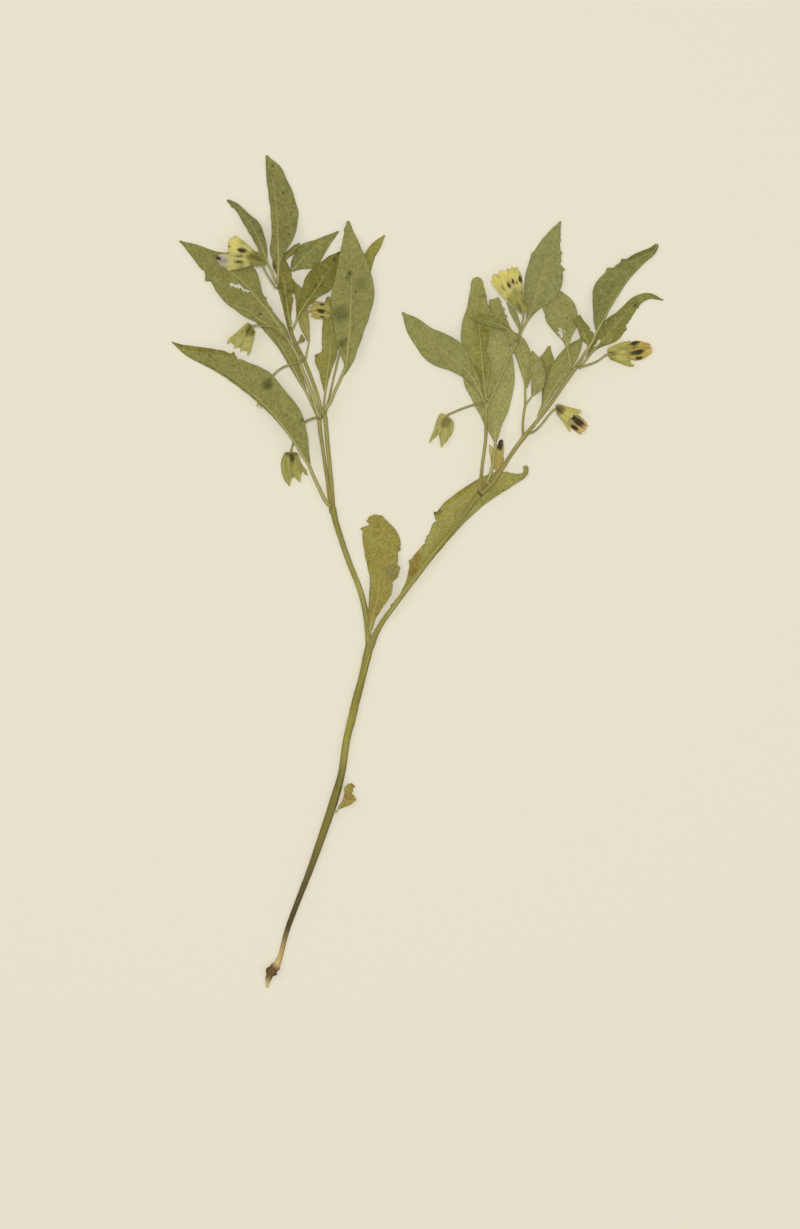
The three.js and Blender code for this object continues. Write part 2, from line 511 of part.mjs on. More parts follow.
// Marks a finished piece on the map.
function layDown(geometry) {
  const places = geometry.getAttribute('position');
  const corners = [new THREE.Vector3(), new THREE.Vector3(), new THREE.Vector3()];
  for (let face = 0; face < geometry.index.count; face += 3) {
    corners.forEach((corner, k) => corner.fromBufferAttribute(places, geometry.index.getX(face + k)));
    const [a, b, c] = corners;
    const steps = Math.ceil(Math.max(a.distanceTo(b), b.distanceTo(c), c.distanceTo(a)) / (CELL / 2)) + 1;
    for (let i = 0; i <= steps; i += 1) {
      for (let j = 0; j <= steps - i; j += 1) {
        const [u, v, w] = [i / steps, j / steps, (steps - i - j) / steps];
        const cell = cellAt(a.x * u + b.x * v + c.x * w, a.y * u + b.y * v + c.y * w);
        reached[cell] = Math.max(reached[cell], a.z * u + b.z * v + c.z * w);
      }
    }
  }
}

// Spreads the marked heights into slopes, in one sweep each way across the map.
function updateDrape() {
  for (let cell = 0; cell < drape.length; cell += 1) {
    drape[cell] = reached[cell] > 0 ? reached[cell] + GAP : 0;
  }
  const fall = DRAPE * CELL;
  const across = fall * Math.SQRT2;
  const neighbours = [[1, fall], [MAP_COLUMNS, fall], [MAP_COLUMNS + 1, across], [MAP_COLUMNS - 1, across]];
  const edge = MAP_COLUMNS + 1;
  for (let cell = edge; cell < drape.length; cell += 1) {
    for (const [step, drop] of neighbours) drape[cell] = Math.max(drape[cell], drape[cell - step] - drop);
  }
  for (let cell = drape.length - 1 - edge; cell >= 0; cell -= 1) {
    for (const [step, drop] of neighbours) drape[cell] = Math.max(drape[cell], drape[cell + step] - drop);
  }
}

// The lowest underside at a place that clears the cells round it.
function clearHeight(x, y) {
  const cell = cellAt(x, y);
  let height = 0;
  for (const step of [-MAP_COLUMNS, 0, MAP_COLUMNS]) {
    height = Math.max(height, drape[cell + step - 1], drape[cell + step], drape[cell + step + 1]);
  }
  return height;
}

// Undersides for a grid of places: each clears all that lies under the quads round it.
function restHeights(grid) {
  const { lerp } = THREE.MathUtils;
  const mix = (i, j, u, v, axis) => {
    const [near, far] = [grid[i], grid[i + 1]];
    return lerp(lerp(near[j][axis], near[j + 1][axis], v), lerp(far[j][axis], far[j + 1][axis], v), u);
  };
  const heights = grid.map((row) => row.map(() => 0));
  for (let i = 0; i + 1 < grid.length; i += 1) {
    for (let j = 0; j + 1 < grid[i].length; j += 1) {
      let height = 0;
      for (let u = 0; u <= 1; u += 1 / PROBES) {
        for (let v = 0; v <= 1; v += 1 / PROBES) {
          height = Math.max(height, clearHeight(mix(i, j, u, v, 'x'), mix(i, j, u, v, 'y')));
        }
      }
      for (const [p, q] of [[i, j], [i, j + 1], [i + 1, j], [i + 1, j + 1]]) {
        heights[p][q] = Math.max(heights[p][q], height);
      }
    }
  }
  return heights;
}

// ---- Shapes ----
function planCurve(points) {
  return new THREE.CatmullRomCurve3(points.map(([x, y]) => new THREE.Vector3(x, y, 0)));
}

// A smooth value through a list of numbers at even steps, for a share from 0 to 1.
function valueAlong(values, share) {
  const place = Math.min(Math.max(share, 0), 1) * (values.length - 1);
  const k = Math.min(Math.floor(place), values.length - 2);
  const f = place - k;
  const [b, c] = [values[k], values[k + 1]];
  const a = k > 0 ? values[k - 1] : 2 * b - c;
  const d = k + 2 < values.length ? values[k + 2] : 2 * c - b;
  return b + (f * (c - a + f * (2 * a - 5 * b + 4 * c - d + f * (3 * (b - c) + d - a)))) / 2;
}

function makeGeometry(vertices, triangles) {
  const geometry = new THREE.BufferGeometry();
  geometry.setAttribute('position', new THREE.Float32BufferAttribute(vertices, 3));
  geometry.setIndex(triangles);
  return geometry;
}

// A closed sheet over a grid of places: top and bottom share one pattern of triangles, and a rim joins them.
function sheetGeometry(grid) {
  const rows = grid.length;
  const across = grid[0].length;
  const vertices = [];
  for (const face of ['top', 'bottom']) {
    for (const row of grid) {
      for (const place of row) vertices.push(place.x, place.y, place[face]);
    }
  }
  const under = rows * across;
  const triangles = [];
  for (let i = 0; i + 1 < rows; i += 1) {
    for (let j = 0; j + 1 < across; j += 1) {
      const [a, b] = [i * across + j, i * across + j + 1];
      const [c, d] = [b + across, a + across];
      const halves = 2 * j + 1 < across ? [[a, b, c], [a, c, d]] : [[a, b, d], [b, c, d]];
      for (const [p, q, r] of halves) triangles.push(p, q, r, under + r, under + q, under + p);
    }
  }
  const rim = [];
  for (let j = 0; j < across; j += 1) rim.push(j);
  for (let i = 1; i < rows; i += 1) rim.push(i * across + across - 1);
  for (let j = across - 2; j >= 0; j -= 1) rim.push((rows - 1) * across + j);
  for (let i = rows - 2; i > 0; i -= 1) rim.push(i * across);
  rim.forEach((a, k) => {
    const b = rim[(k + 1) % rim.length];
    triangles.push(b, a, under + a, b, under + a, under + b);
  });
  return makeGeometry(vertices, triangles);
}

// Shares of the whole length at which rows lie: a few along the bare stalk, the rest along the blade.
function rowPlaces(length, stalk) {
  const stalkRows = stalk > 0 ? Math.ceil(stalk / ROW) : 0;
  const bladeRows = Math.max(BLADE_ROWS, Math.ceil((length - stalk) / ROW));
  const places = [];
  for (let i = 0; i < stalkRows; i += 1) places.push({ at: (stalk * i) / stalkRows, share: -1 });
  for (let i = 0; i <= bladeRows; i += 1) {
    places.push({ at: stalk + ((length - stalk) * i) / bladeRows, share: i / bladeRows });
  }
  return places;
}

// How far a calyx's mouth reaches at even places across it.
function mouthEnds({ valley, front, back }) {
  return Array.from({ length: FOLDS }, (_, j) => {
    const across = (2 * j) / (FOLDS - 1) - 1;
    const reaches = [...front, ...back].map(([place, reach, wide]) => {
      const rise = Math.max(0, 1 - Math.abs(across - place) / wide) ** TOOTH_ROUND;
      return valley + (reach - valley) * rise;
    });
    return Math.max(valley, ...reaches);
  });
}

// Half-widths of a row on both sides, with the row's teeth and notches.
function halfWidths(piece, share, rowShare) {
  const foot = piece.foot ?? STALK;
  if (share < 0) return { left: foot, right: foot };
  const widths = { left: valueAlong(piece.left, share), right: valueAlong(piece.right, share) };
  for (const [place, side, size] of piece.teeth ?? []) {
    if (Math.abs(place - share) <= rowShare / 2) widths[side] += size;
  }
  return { left: Math.max(widths.left, TIP), right: Math.max(widths.right, TIP) };
}

// A leaf, calyx or corolla: a thin sheet that follows its rib and lies on what is below it.
function bladeGeometry(piece) {
  const curve = planCurve(piece.rib);
  const length = curve.getLength();
  const stalk = piece.stalk ?? 0;
  const across = piece.ends ? FOLDS : ACROSS;
  const rows = rowPlaces(length, stalk);
  const rowShare = 1 / rows.filter(({ share }) => share > 0).length;
  const grid = rows.map(({ at, share }) => {
    const widths = halfWidths(piece, share, rowShare);
    const row = [];
    for (let j = 0; j < across; j += 1) {
      const side = (2 * j) / (across - 1) - 1;
      const reach = piece.ends && share > 0 ? stalk + (at - stalk) * piece.ends[j] : at;
      const foot = curve.getPointAt(Math.min(reach / length, 1));
      const ahead = curve.getTangentAt(Math.min(reach / length, 1));
      foot.addScaledVector(ahead, Math.max(0, reach - length));
      const offset = -side * (side < 0 ? widths.left : widths.right);
      const ridge = side === 0 && !piece.ends ? RIDGE * (1 - RIDGE_FALL * Math.max(0, share)) : 0;
      const place = { x: foot.x - ahead.y * offset, y: foot.y + ahead.x * offset };
      row.push({ ...place, lift: liftOf(piece, side, share, j), thick: BLADE + ridge });
    }
    return row;
  });
  const heights = restHeights(grid);
  grid.forEach((row, i) => row.forEach((place, j) => {
    place.bottom = Math.max(heights[i][j], piece.air ?? AIR) + place.lift;
    place.top = place.bottom + place.thick;
  }));
  return sheetGeometry(grid);
}

// How far a place on a blade is raised by curl, or by the pleats of a corolla.
function liftOf(piece, side, share, column) {
  if (share <= 0) return 0;
  if (piece.ends) return column % 2 === 1 ? PLEAT * share : 0;
  const wave = Math.sin(CURL_WAVES * share + CURL_LEAN * side + piece.rib[0][0]);
  return (CURL * Math.abs(side) * (1 + wave)) / 2;
}

// The oval section of a strand, as shares of its width and height, with a flat underside.
const SECTION = [
  [-0.28, 0], [0.28, 0], [0.5, 0.36], [0.42, 0.78], [0.16, 1], [-0.16, 1], [-0.42, 0.78], [-0.5, 0.36],
];

// The height at which a strand's foot joins the strands laid before it.
function joinHeight(foot, laid) {
  let nearest = { away: Infinity, base: 0 };
  for (const { x, y, base } of laid) {
    const away = Math.hypot(x - foot.x, y - foot.y);
    if (away < nearest.away) nearest = { away, base };
  }
  return nearest.base;
}

function strandGeometry(points, laid) {
  const curve = planCurve(points);
  const widths = points.map(([, , width]) => width);
  const rows = Math.max(STRAND_ROWS, Math.ceil(curve.getLength() / STEM_STEP));
  const stations = [];
  for (let i = 0; i <= rows; i += 1) {
    const place = curve.getPoint(i / rows);
    stations.push({ place, ahead: curve.getTangent(i / rows), width: valueAlong(widths, i / rows) });
  }
  const outline = stations.map(({ place, ahead, width }) => [-0.5, 0.5].map((out) => (
    { x: place.x + ahead.y * out * width, y: place.y - ahead.x * out * width }
  )));
  const bases = restHeights(outline).map((pair) => Math.max(...pair));
  if (laid.length > 0) bases[0] = joinHeight(stations[0].place, laid);
  for (let i = 0; i < rows; i += 1) {
    for (let share = 0; share < 1; share += 1 / PROBES) {
      const { x, y } = stations[i].place.clone().lerp(stations[i + 1].place, share);
      laid.push({ x, y, base: THREE.MathUtils.lerp(bases[i], bases[i + 1], share) });
    }
  }
  const around = SECTION.length;
  const vertices = [];
  stations.forEach(({ place, ahead, width }, i) => {
    const height = STRAND_LEAST + STRAND_RISE * width;
    for (const [out, up] of SECTION) {
      vertices.push(place.x + ahead.y * out * width, place.y - ahead.x * out * width, bases[i] + up * height);
    }
  });
  const triangles = [];
  for (let i = 0; i < rows; i += 1) {
    for (let k = 0; k < around; k += 1) {
      const [a, b] = [i * around + k, i * around + ((k + 1) % around)];
      triangles.push(a, b + around, b, a, a + around, b + around);
    }
  }
  for (let k = 1; k + 1 < around; k += 1) {
    triangles.push(0, k, k + 1, rows * around, rows * around + k + 1, rows * around + k);
  }
  return makeGeometry(vertices, triangles);
}

// ---- Joining ----
const wasm = await Module();
wasm.setup();

function asSolid(geometry) {
  const closed = mergeVertices(geometry);
  return new wasm.Manifold(new wasm.Mesh({
    numProp: 3,
    vertProperties: new Float32Array(closed.getAttribute('position').array),
    triVerts: new Uint32Array(closed.index.array),
  }));
}

function stemGeometry() {
  const laid = [];
  const solids = Object.values(STRANDS).map((points) => asSolid(strandGeometry(points, laid)));
  const joined = solids.reduce((whole, strand) => whole.add(strand)).getMesh();
  return makeGeometry(Array.from(joined.vertProperties), Array.from(joined.triVerts));
}

// ---- The plant ----
const CALYX_FINISH = { color: 0xa39c56, roughness: 0.85 };
const STEM_FINISH = { color: 0x8a803e, roughness: 0.7 };
const LEAF_ROUGHNESS = 0.8;
const PETAL_ROUGHNESS = 0.75;

function makePiece(name) {
  if (name === 'stem') return { geometry: stemGeometry(), finish: STEM_FINISH };
  if (name in CALYCES) {
    const cup = CALYCES[name];
    return { geometry: bladeGeometry({ ...cup, ends: mouthEnds(cup), foot: PEDICEL }), finish: CALYX_FINISH };
  }
  const petal = name in COROLLAS;
  const piece = petal ? COROLLAS[name] : LEAVES[name];
  const finish = { color: piece.color, roughness: petal ? PETAL_ROUGHNESS : LEAF_ROUGHNESS };
  return { geometry: bladeGeometry(piece), finish };
}

const plant = new THREE.Group();
for (const name of LYING_ORDER) {
  updateDrape();
  const { geometry, finish } = makePiece(name);
  layDown(geometry);
  const mesh = new THREE.Mesh(geometry, new THREE.MeshStandardMaterial({ ...finish, metalness: 0 }));
  mesh.name = name;
  plant.add(mesh);
}
const middle = new THREE.Box3().setFromObject(plant).getCenter(new THREE.Vector3());
plant.position.set(-middle.x, -middle.y, 0);
export default plant;
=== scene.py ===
"""A pressed flowering groundcherry: the fine leaves, stem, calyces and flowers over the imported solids."""
import functools
import json
import math

import bpy
import numpy as np
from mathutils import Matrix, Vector
from mathutils.bvhtree import BVHTree


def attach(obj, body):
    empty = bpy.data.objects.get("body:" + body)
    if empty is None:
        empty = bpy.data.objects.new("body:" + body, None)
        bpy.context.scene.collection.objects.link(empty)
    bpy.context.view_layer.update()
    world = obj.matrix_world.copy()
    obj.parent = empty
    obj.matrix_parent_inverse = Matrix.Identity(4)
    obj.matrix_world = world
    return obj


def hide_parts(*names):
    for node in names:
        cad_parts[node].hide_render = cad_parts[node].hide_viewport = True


bl_info = {
    "name": "Pressed Groundcherry",
    "version": (1, 0, 0),
    "blender": (4, 5, 0),
    "location": "View3D > Sidebar > Groundcherry",
    "description": "Builds the pressed plant's leaves, stem, calyces and flowers around its packed solids",
    "category": "Add Mesh",
}

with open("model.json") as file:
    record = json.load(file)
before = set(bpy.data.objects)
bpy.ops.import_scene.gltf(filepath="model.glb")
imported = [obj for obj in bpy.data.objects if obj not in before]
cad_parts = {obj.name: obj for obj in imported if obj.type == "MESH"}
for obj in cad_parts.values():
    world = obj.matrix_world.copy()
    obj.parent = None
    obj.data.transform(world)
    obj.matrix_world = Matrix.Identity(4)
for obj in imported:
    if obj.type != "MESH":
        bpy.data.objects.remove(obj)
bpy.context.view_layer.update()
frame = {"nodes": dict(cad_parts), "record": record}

# ---- Driving dimensions ----
# Lengths and plan places are in millimetres where nothing else is said. Places are from the main fork of the
# stem, +Y up the plant. The flat face on the main stem gives the fork's place in the shared frame.
MM = 0.001
FACE_FROM_FORK = (-6.5, -27.6)
FACE = frame["record"]["mounts"][0]["pos_m"]
FORK = np.array([FACE[0] / MM - FACE_FROM_FORK[0], FACE[1] / MM - FACE_FROM_FORK[1], 0.0])
BODY = "root"
# The camera's view: its height at the floor and its middle.
VIEW_HEIGHT = 453.0
VIEW_MIDDLE = (11.43, 11.24)
FLOOR_DROP = -0.00002  # in metres
SKY_COLOR = (1.0, 0.99, 0.96, 1)
# Lamps: name, place and side in metres, and factor of the lamp power.
LAMPS = [
    ("overhead", (0.0, 0.05, 2.4), 0.5, 4.7),
    ("left", (-1.3, 0.5, 1.2), 0.9, 0.5),
    ("right", (1.3, -0.3, 1.2), 0.9, 0.25),
]

# Stem strands, each a list of x, y and width from its foot to its head.
STRANDS = {
    "root": [
        (-37.6, -126.3, 0.9), (-37, -122.6, 2.2), (-35.8, -120, 4.2), (-34.2, -118, 3), (-32.6, -114.6, 1.7),
    ],
    "main": [
        (-33.4, -117.6, 1.6), (-32.1, -112.4, 1.7), (-30.2, -105.1, 1.8), (-26.1, -94, 2),
        (-21.8, -82.9, 2.3), (-16.6, -68.2, 2.8), (-12.9, -57.1, 3.1), (-10.3, -47.9, 2.6), (-8.3, -35, 2.6),
        (-6.5, -27.6, 2.9), (-4.8, -20.3, 2.9), (-2.8, -12.9, 2.6), (-1.1, -5.5, 2.9), (0.3, 0.4, 3),
    ],
    "left_branch": [
        (0, -1, 2.4), (-0.5, 5, 2.1), (-1.5, 12.9, 2.1), (-3.4, 20.3, 2), (-7.4, 30.6, 2), (-10.2, 38.7, 2),
        (-12.5, 46.1, 2.1), (-13.4, 50.5, 2.4),
    ],
    "left_inner": [
        (-13.1, 48.6, 1.6), (-14, 60.8, 1.5), (-15.1, 71.9, 1.5), (-16.2, 83.7, 1.6), (-16.6, 86, 1.5),
    ],
    "left_outer": [
        (-13.9, 48.6, 1.4), (-15.4, 60.8, 1.3), (-17, 71.9, 1.3), (-18.2, 83, 1.6), (-17.2, 86, 1.5),
    ],
    "left_upper": [
        (-17.3, 83.6, 1.6), (-18.8, 91, 1.4), (-20.6, 96.6, 1.3), (-24, 105.1, 1.4), (-27.3, 111.7, 1.3),
        (-28.8, 115.4, 1.5), (-31, 123.5, 1.2), (-32.4, 129, 1.2), (-33.2, 132.4, 1.5),
    ],
    "right_branch": [
        (0.4, -1, 2.6), (2.6, 4.4, 2.1), (5.4, 9.2, 1.8), (8.3, 13.1, 1.7), (13.6, 20.3, 1.7),
        (18.1, 26.2, 1.8), (25.1, 35.4, 1.9), (32.4, 44.6, 1.8), (38.9, 53.4, 1.8), (41.4, 56.4, 2.4),
    ],
    "right_inner": [
        (40.8, 54.8, 1.5), (41.2, 61, 1.2), (41.7, 66.3, 1.1), (42.9, 75.6, 1.1), (43.1, 84.8, 1.2),
        (43, 89, 1.6),
    ],
    "right_outer": [
        (41, 55.4, 1.6), (44.6, 58.6, 1.5), (48.3, 63.8, 1.4), (52, 69.7, 1.4), (56.8, 76.3, 1.7),
        (58.9, 78.9, 1.4), (64.9, 86.3, 1.3), (70.4, 94, 1.3), (75.2, 101, 1.5), (76.9, 103.2, 1.6),
        (78.4, 105.4, 1.2),
    ],
    "crown_twig": [
        (43, 86.6, 1.2), (44.7, 90.6, 1.1), (47.2, 96.2, 1.1), (50.9, 104.3, 1.1), (54.7, 112, 1.2),
    ],
    "leaflet_twig": [(56.8, 75.8, 1.1), (56.6, 81.1, 0.9), (57.1, 85.9, 0.9), (57.6, 88.6, 1)],
}

# Leaves. rib: points from the stalk's foot to the tip. stalk: length of the bare stalk.
# left, right: half-widths at even steps along the blade. tip: how round its tip is, and 0 where it is torn.
# teeth: place along the blade (0 to 1), side, size (below 0 for a notch) and length.
# folds: start, end, side and width of a folded margin. slits, veins: lines of points.
# marks: x, y, radius and strength of dark stains. tones: x, y, radius and colour.
LEAVES = {
    "leaf_behind": dict(
        rib=[
            (-10.7, 108.8), (-8.5, 114.3), (-5.5, 121.6), (-2.6, 130.9), (0.4, 140.4), (2.9, 146.3),
            (5.9, 151.1),
        ],
        stalk=8.5, color="89873f",
        left=[0.4, 1.2, 1.5, 1.9, 2.4, 2.9, 3.1, 2.1, 0],
        right=[0.4, 1.6, 2, 1.9, 1.7, 1.2, 0.8, 1.1, 0],
        tones=[(4.6, 148.0, 7.5, "8f883c")],
    ),
    "leaf_notched": dict(
        rib=[
            (-17, 85), (-16.6, 88), (-16.1, 93.3), (-15.5, 98.4), (-14.7, 104.3), (-14, 112.4), (-14, 120.5),
            (-15.1, 128.6),
        ],
        stalk=8, color="8b8542",
        left=[0.4, 1.2, 2.2, 3, 4.2, 5.2, 5, 3.1, 3.4, 3.4, 3.4, 3.3, 3.2, 3, 2.6, 1.6, 0],
        right=[0.4, 0.5, 0.7, 1, 1.4, 1.9, 2.4, 2.7, 3, 3.2, 3.4, 3.5, 3.4, 3.2, 2.8, 1.6, 0],
        teeth=[(0.375, "left", 0.7, 1.6), (0.41, "left", -0.7, 1.2)],
    ),
    "leaf_inner": dict(
        rib=[
            (-23.4, 104.6), (-22.9, 107.6), (-22.2, 111.4), (-22.9, 116.1), (-24.3, 121.6), (-25.8, 127.2),
            (-28, 134.2),
        ],
        stalk=7, color="948d4b",
        left=[0.4, 1.4, 2.1, 2.3, 2.1, 1.6, 1, 0.8, 0],
        right=[0.4, 0.7, 1.3, 1.9, 2.3, 2.5, 2.4, 2, 0],
    ),
    "leaf_ovate": dict(
        rib=[
            (-32.4, 133.2), (-30.6, 135), (-28.8, 137.5), (-25.8, 140.8), (-21.8, 144.9), (-16.6, 148.9),
            (-11.1, 152.6),
        ],
        stalk=5.8, color="7f7d42",
        left=[0.4, 2.5, 3.7, 4.2, 3.3, 2.2, 1.4, 0.7, 0],
        right=[0.4, 2.2, 4.8, 5.6, 5, 3.8, 2.5, 1.5, 0],
    ),
    "leaf_dark": dict(
        rib=[
            (-28, 116.3), (-27.3, 117.8), (-25.8, 121.3), (-23.2, 125.7), (-20.3, 129.7), (-17, 134.9),
            (-13.6, 140.1), (-10.3, 144.9),
        ],
        stalk=4, color="756f2e",
        left=[0.4, 1.8, 3.3, 4.7, 5.6, 5.3, 3.9, 2.6, 0],
        right=[0.4, 1, 1.7, 2.5, 4.4, 4.7, 3.5, 1.9, 0],
        marks=[
            (-19.4, 132.1, 1.6, 0.55), (-12.6, 141.9, 1.4, 0.7), (-10.8, 144.5, 0.9, 0.7),
            (-17.4, 132.4, 0.9, 0.7),
        ],
    ),
    "leaf_big": dict(
        rib=[
            (-16, 86.9), (-14.2, 89.4), (-12.6, 93.3), (-10.4, 98), (-8.5, 102.9), (-7.7, 108.8), (-7, 116.9),
            (-6.6, 125.4), (-6.3, 134.6), (-6.3, 141.2), (-7, 148.6), (-7.7, 156.4),
        ],
        stalk=13.6, color="8a874c",
        left=[0.4, 0.5, 2.1, 3.9, 5, 6, 6.8, 7.2, 7.3, 7.1, 6.3, 5.5, 4.8, 3.8, 2.7, 1.5, 0.4],
        right=[0.5, 1.6, 2.9, 3.6, 4.6, 5.4, 6.7, 7.6, 8.3, 8.4, 7.6, 6.6, 5.5, 3.9, 2.8, 1.5, 0.4],
        teeth=[(0.95, "left", 0.6)],
        marks=[
            (-6.9, 136.7, 1.6, 0.8), (-7.9, 135.0, 1.3, 0.6), (-2.8, 133.1, 4.4, 0.42),
            (-10.5, 121.7, 5.0, 0.6), (-4.9, 130.0, 0.9, 0.6), (-9.8, 110.8, 2.4, 0.6),
            (-9.2, 124.6, 2.4, 0.4), (-8.6, 112.4, 1.4, 0.6),
        ],
    ),
    "leaf_small": dict(
        rib=[(-32.9, 133.4), (-32, 136.4), (-31.7, 139.7), (-30.6, 142.3), (-28.4, 144.9), (-25.4, 148.2)],
        stalk=7.7, color="7d783c", tip=0.7,
        left=[0.4, 1.8, 1.5, 1.2, 0.9, 0],
        right=[0.4, 0.5, 1, 1.1, 1, 0],
    ),
    "leaf_under": dict(
        rib=[
            (-18.6, 84), (-20.6, 88), (-22.6, 92.2), (-25, 96.4), (-28.4, 102.9), (-32, 109.3), (-36, 115.6),
            (-41.3, 121.6), (-46.8, 125.7), (-53.5, 128.3),
        ],
        stalk=9.9, color="8b8649",
        left=[0.4, 0.6, 1, 1.1, 1.7, 2, 2.4, 2.1, 0],
        right=[0.4, 1.9, 3.4, 4.1, 4.2, 3.9, 3.3, 1.9, 0],
    ),
    "leaf_broad": dict(
        rib=[
            (-18.4, 84.2), (-19.6, 87), (-20.5, 90.8), (-22.4, 96.2), (-24.5, 101), (-26.2, 106.2),
            (-28.8, 110.6), (-31.7, 115.4), (-34.3, 119), (-37.2, 123.1), (-40.5, 126.8), (-43.9, 130.9),
            (-47.6, 134.9), (-52, 138.2), (-57.9, 141.5), (-64.2, 145.6), (-70, 149),
        ],
        stalk=28, color="848145",
        left=[0.4, 2, 5.8, 8.4, 9.9, 8.9, 5.3, 2.8, 0],
        right=[0.4, 1.8, 1.3, 2.9, 6.2, 6.9, 4.1, 2.3, 0],
        teeth=[
            (0.73, "left", 2.1, 2.6), (0.765, "left", -0.8, 1.4), (0.34, "right", 0.7, 1.6),
            (0.27, "right", 0.5, 1.2),
        ],
        marks=[(-40.0, 121.7, 1.0, 0.7), (-33.0, 112.0, 0.6, 0.6), (-31.4, 112.6, 0.9, 0.5)],
        veins=[[(-49.6, 125.2), (-44.1, 122.6), (-39.4, 119.0), (-35.8, 117.2)]],
        slits=[[(-50.9, 133.1), (-49, 132), (-48.2, 132.4), (-46.5, 131.1), (-44.3, 130.2)]],
    ),
    "leaf_torn": dict(
        rib=[(-26.2, 111), (-24.9, 112), (-23.7, 112.9)],
        stalk=0, color="777032", tip=0,
        left=[0.3, 0.6, 1.2, 1.5],
        right=[0.3, 0.5, 0.8, 0.6],
        teeth=[(0.9, "left", 0.5, 0.8), (0.75, "right", 0.5, 0.8)],
    ),
    "leaf_long": dict(
        rib=[
            (-15, 51.6), (-16.4, 53.8), (-18.4, 57.9), (-20.3, 61.9), (-22, 66), (-24.4, 69.8), (-27.3, 74.6),
            (-31, 79.6), (-35.8, 85.5), (-41, 90.7), (-46.6, 95.6), (-52, 99.5), (-57.9, 102.8),
            (-64.2, 106.5), (-69, 109.1), (-72.8, 111.7),
        ],
        stalk=15.6, color="898648",
        left=[0.4, 0.4, 0.5, 0.8, 1.2, 1.4, 1.1, 1.5, 0],
        right=[0.4, 4.7, 8.4, 9.1, 10, 7.7, 6.6, 3.3, 0],
        teeth=[(0.655, "right", -0.9, 1.6), (0.685, "right", 1.3, 1.6)],
        marks=[
            (-37.3, 95.8, 3.0, 0.75), (-36.6, 97.4, 1.6, 0.6), (-58.6, 106.6, 0.8, 0.7),
            (-24.4, 82.6, 1.3, 0.6), (-30.4, 84.4, 0.9, 0.6),
        ],
        folds=[(0.66, 0.99, "right", 1.9)],
    ),
    "leaf_axil": dict(
        rib=[
            (-28.6, 117), (-28.9, 118.6), (-29.5, 120.9), (-30.2, 126.1), (-31, 131.6), (-32, 137.5),
            (-34.3, 143.8),
        ],
        stalk=1, color="787132",
        left=[0.5, 0.9, 1.2, 1.3, 1.3, 1.5, 2.4, 2.4, 0.9],
        right=[0.5, 0.9, 1.9, 2.6, 3.5, 3.2, 3, 2.6, 0.9],
        teeth=[
            (0.4, "right", -1, 1.4), (0.46, "right", 0.5, 1), (0.6, "right", 0.7, 1.4),
            (0.26, "right", -0.5, 1),
        ],
        marks=[
            (-30.7, 128.2, 1.4, 0.7), (-29.4, 130.0, 1.2, 0.65), (-27.9, 130.5, 1.0, 0.65),
            (-34.9, 139.3, 1.3, 0.6), (-30.2, 123.0, 1.0, 0.6),
        ],
    ),
    "leaf_top": dict(
        rib=[
            (-33.4, 133.8), (-33.2, 141.2), (-33.5, 149.3), (-33.9, 156.7), (-34.6, 165.9), (-36.1, 174),
            (-38, 180.6),
        ],
        stalk=5, color="7f7c44",
        left=[0.4, 3, 2.4, 2.1, 2.2, 2.4, 2.3, 1.5, 0],
        right=[0.4, 2.3, 5.7, 7.5, 7.9, 6.7, 5.3, 3.7, 0],
        marks=[
            (-35.4, 176.6, 0.9, 0.8), (-31.6, 166.5, 0.9, 0.8), (-28.9, 158.7, 0.6, 0.7),
            (-34.8, 158.0, 0.6, 0.6),
        ],
    ),
    "leaf_narrow": dict(
        rib=[
            (-34.3, 133.4), (-35.8, 137.5), (-37.6, 141.2), (-39.4, 146.7), (-42.4, 153), (-45.7, 158.1),
            (-49, 161.8), (-52.4, 164),
        ],
        stalk=8.6, color="7b7844",
        left=[0.4, 1.5, 1.8, 2, 2.1, 2.1, 1.5, 1, 0.6],
        right=[0.4, 1.4, 2.1, 2.7, 2.9, 1.8, 1.3, 1, 0.5],
        teeth=[(0.9, "left", 0.5)],
        marks=[(-40.0, 152.2, 0.7, 0.8)],
    ),
    "leaf_bract": dict(
        rib=[
            (8.5, 14.4), (11.4, 17.3), (16.6, 24), (21.7, 30.2), (27.3, 36.9), (32.8, 43.5), (38.3, 49.8),
            (43.5, 54.6), (49, 58.6), (54.8, 61.6), (57.4, 63.4), (57.9, 66.3),
        ],
        stalk=1.2, color="99934c", tip=0.9,
        left=[0.5, 1, 1.7, 3.2, 5.4, 5.7, 5.8, 6.7, 7.9, 9.4, 9.6, 8.9, 8.2, 7.4, 6.8, 5.4, 3, 0.7, 1.3],
        right=[0.5, 0.6, 0.5, 0.5, 0.5, 0.5, 0.5, 0.5, 0.6, 0.7, 0.9, 1.3, 1.5, 1.8, 2, 2.1, 1.7, 1.3, 0.8],
        teeth=[
            (0.22, "left", 1, 2), (0.34, "left", -0.6, 1.4), (0.375, "left", 0.6, 1.4),
            (0.463, "left", -1.1, 1.6), (0.492, "left", 1.2, 2), (0.88, "left", 0.5, 1.6),
        ],
        tones=[(16.2, 28.2, 3.2, "8f7a38"), (17.6, 32.4, 2.4, "8d7d3c"), (25.4, 49.0, 1.7, "6b5a2a")],
        folds=[(0.55, 0.74, "left", 1.4)],
        marks=[(23.8, 48.6, 1.0, 1.0), (49.6, 57.0, 0.6, 0.7), (39.8, 60.0, 0.8, 0.5)],
    ),
    "leaf_wide": dict(
        rib=[
            (43.4, 60), (45, 63.8), (46.1, 70), (46.6, 75.6), (46.1, 84.8), (45, 94), (44.2, 103.2),
            (43.9, 112.4), (43.5, 119.8),
        ],
        stalk=15, color="9c985a",
        left=[0.4, 3.3, 5.5, 7.6, 9.6, 9.8, 8.1, 5.8, 0],
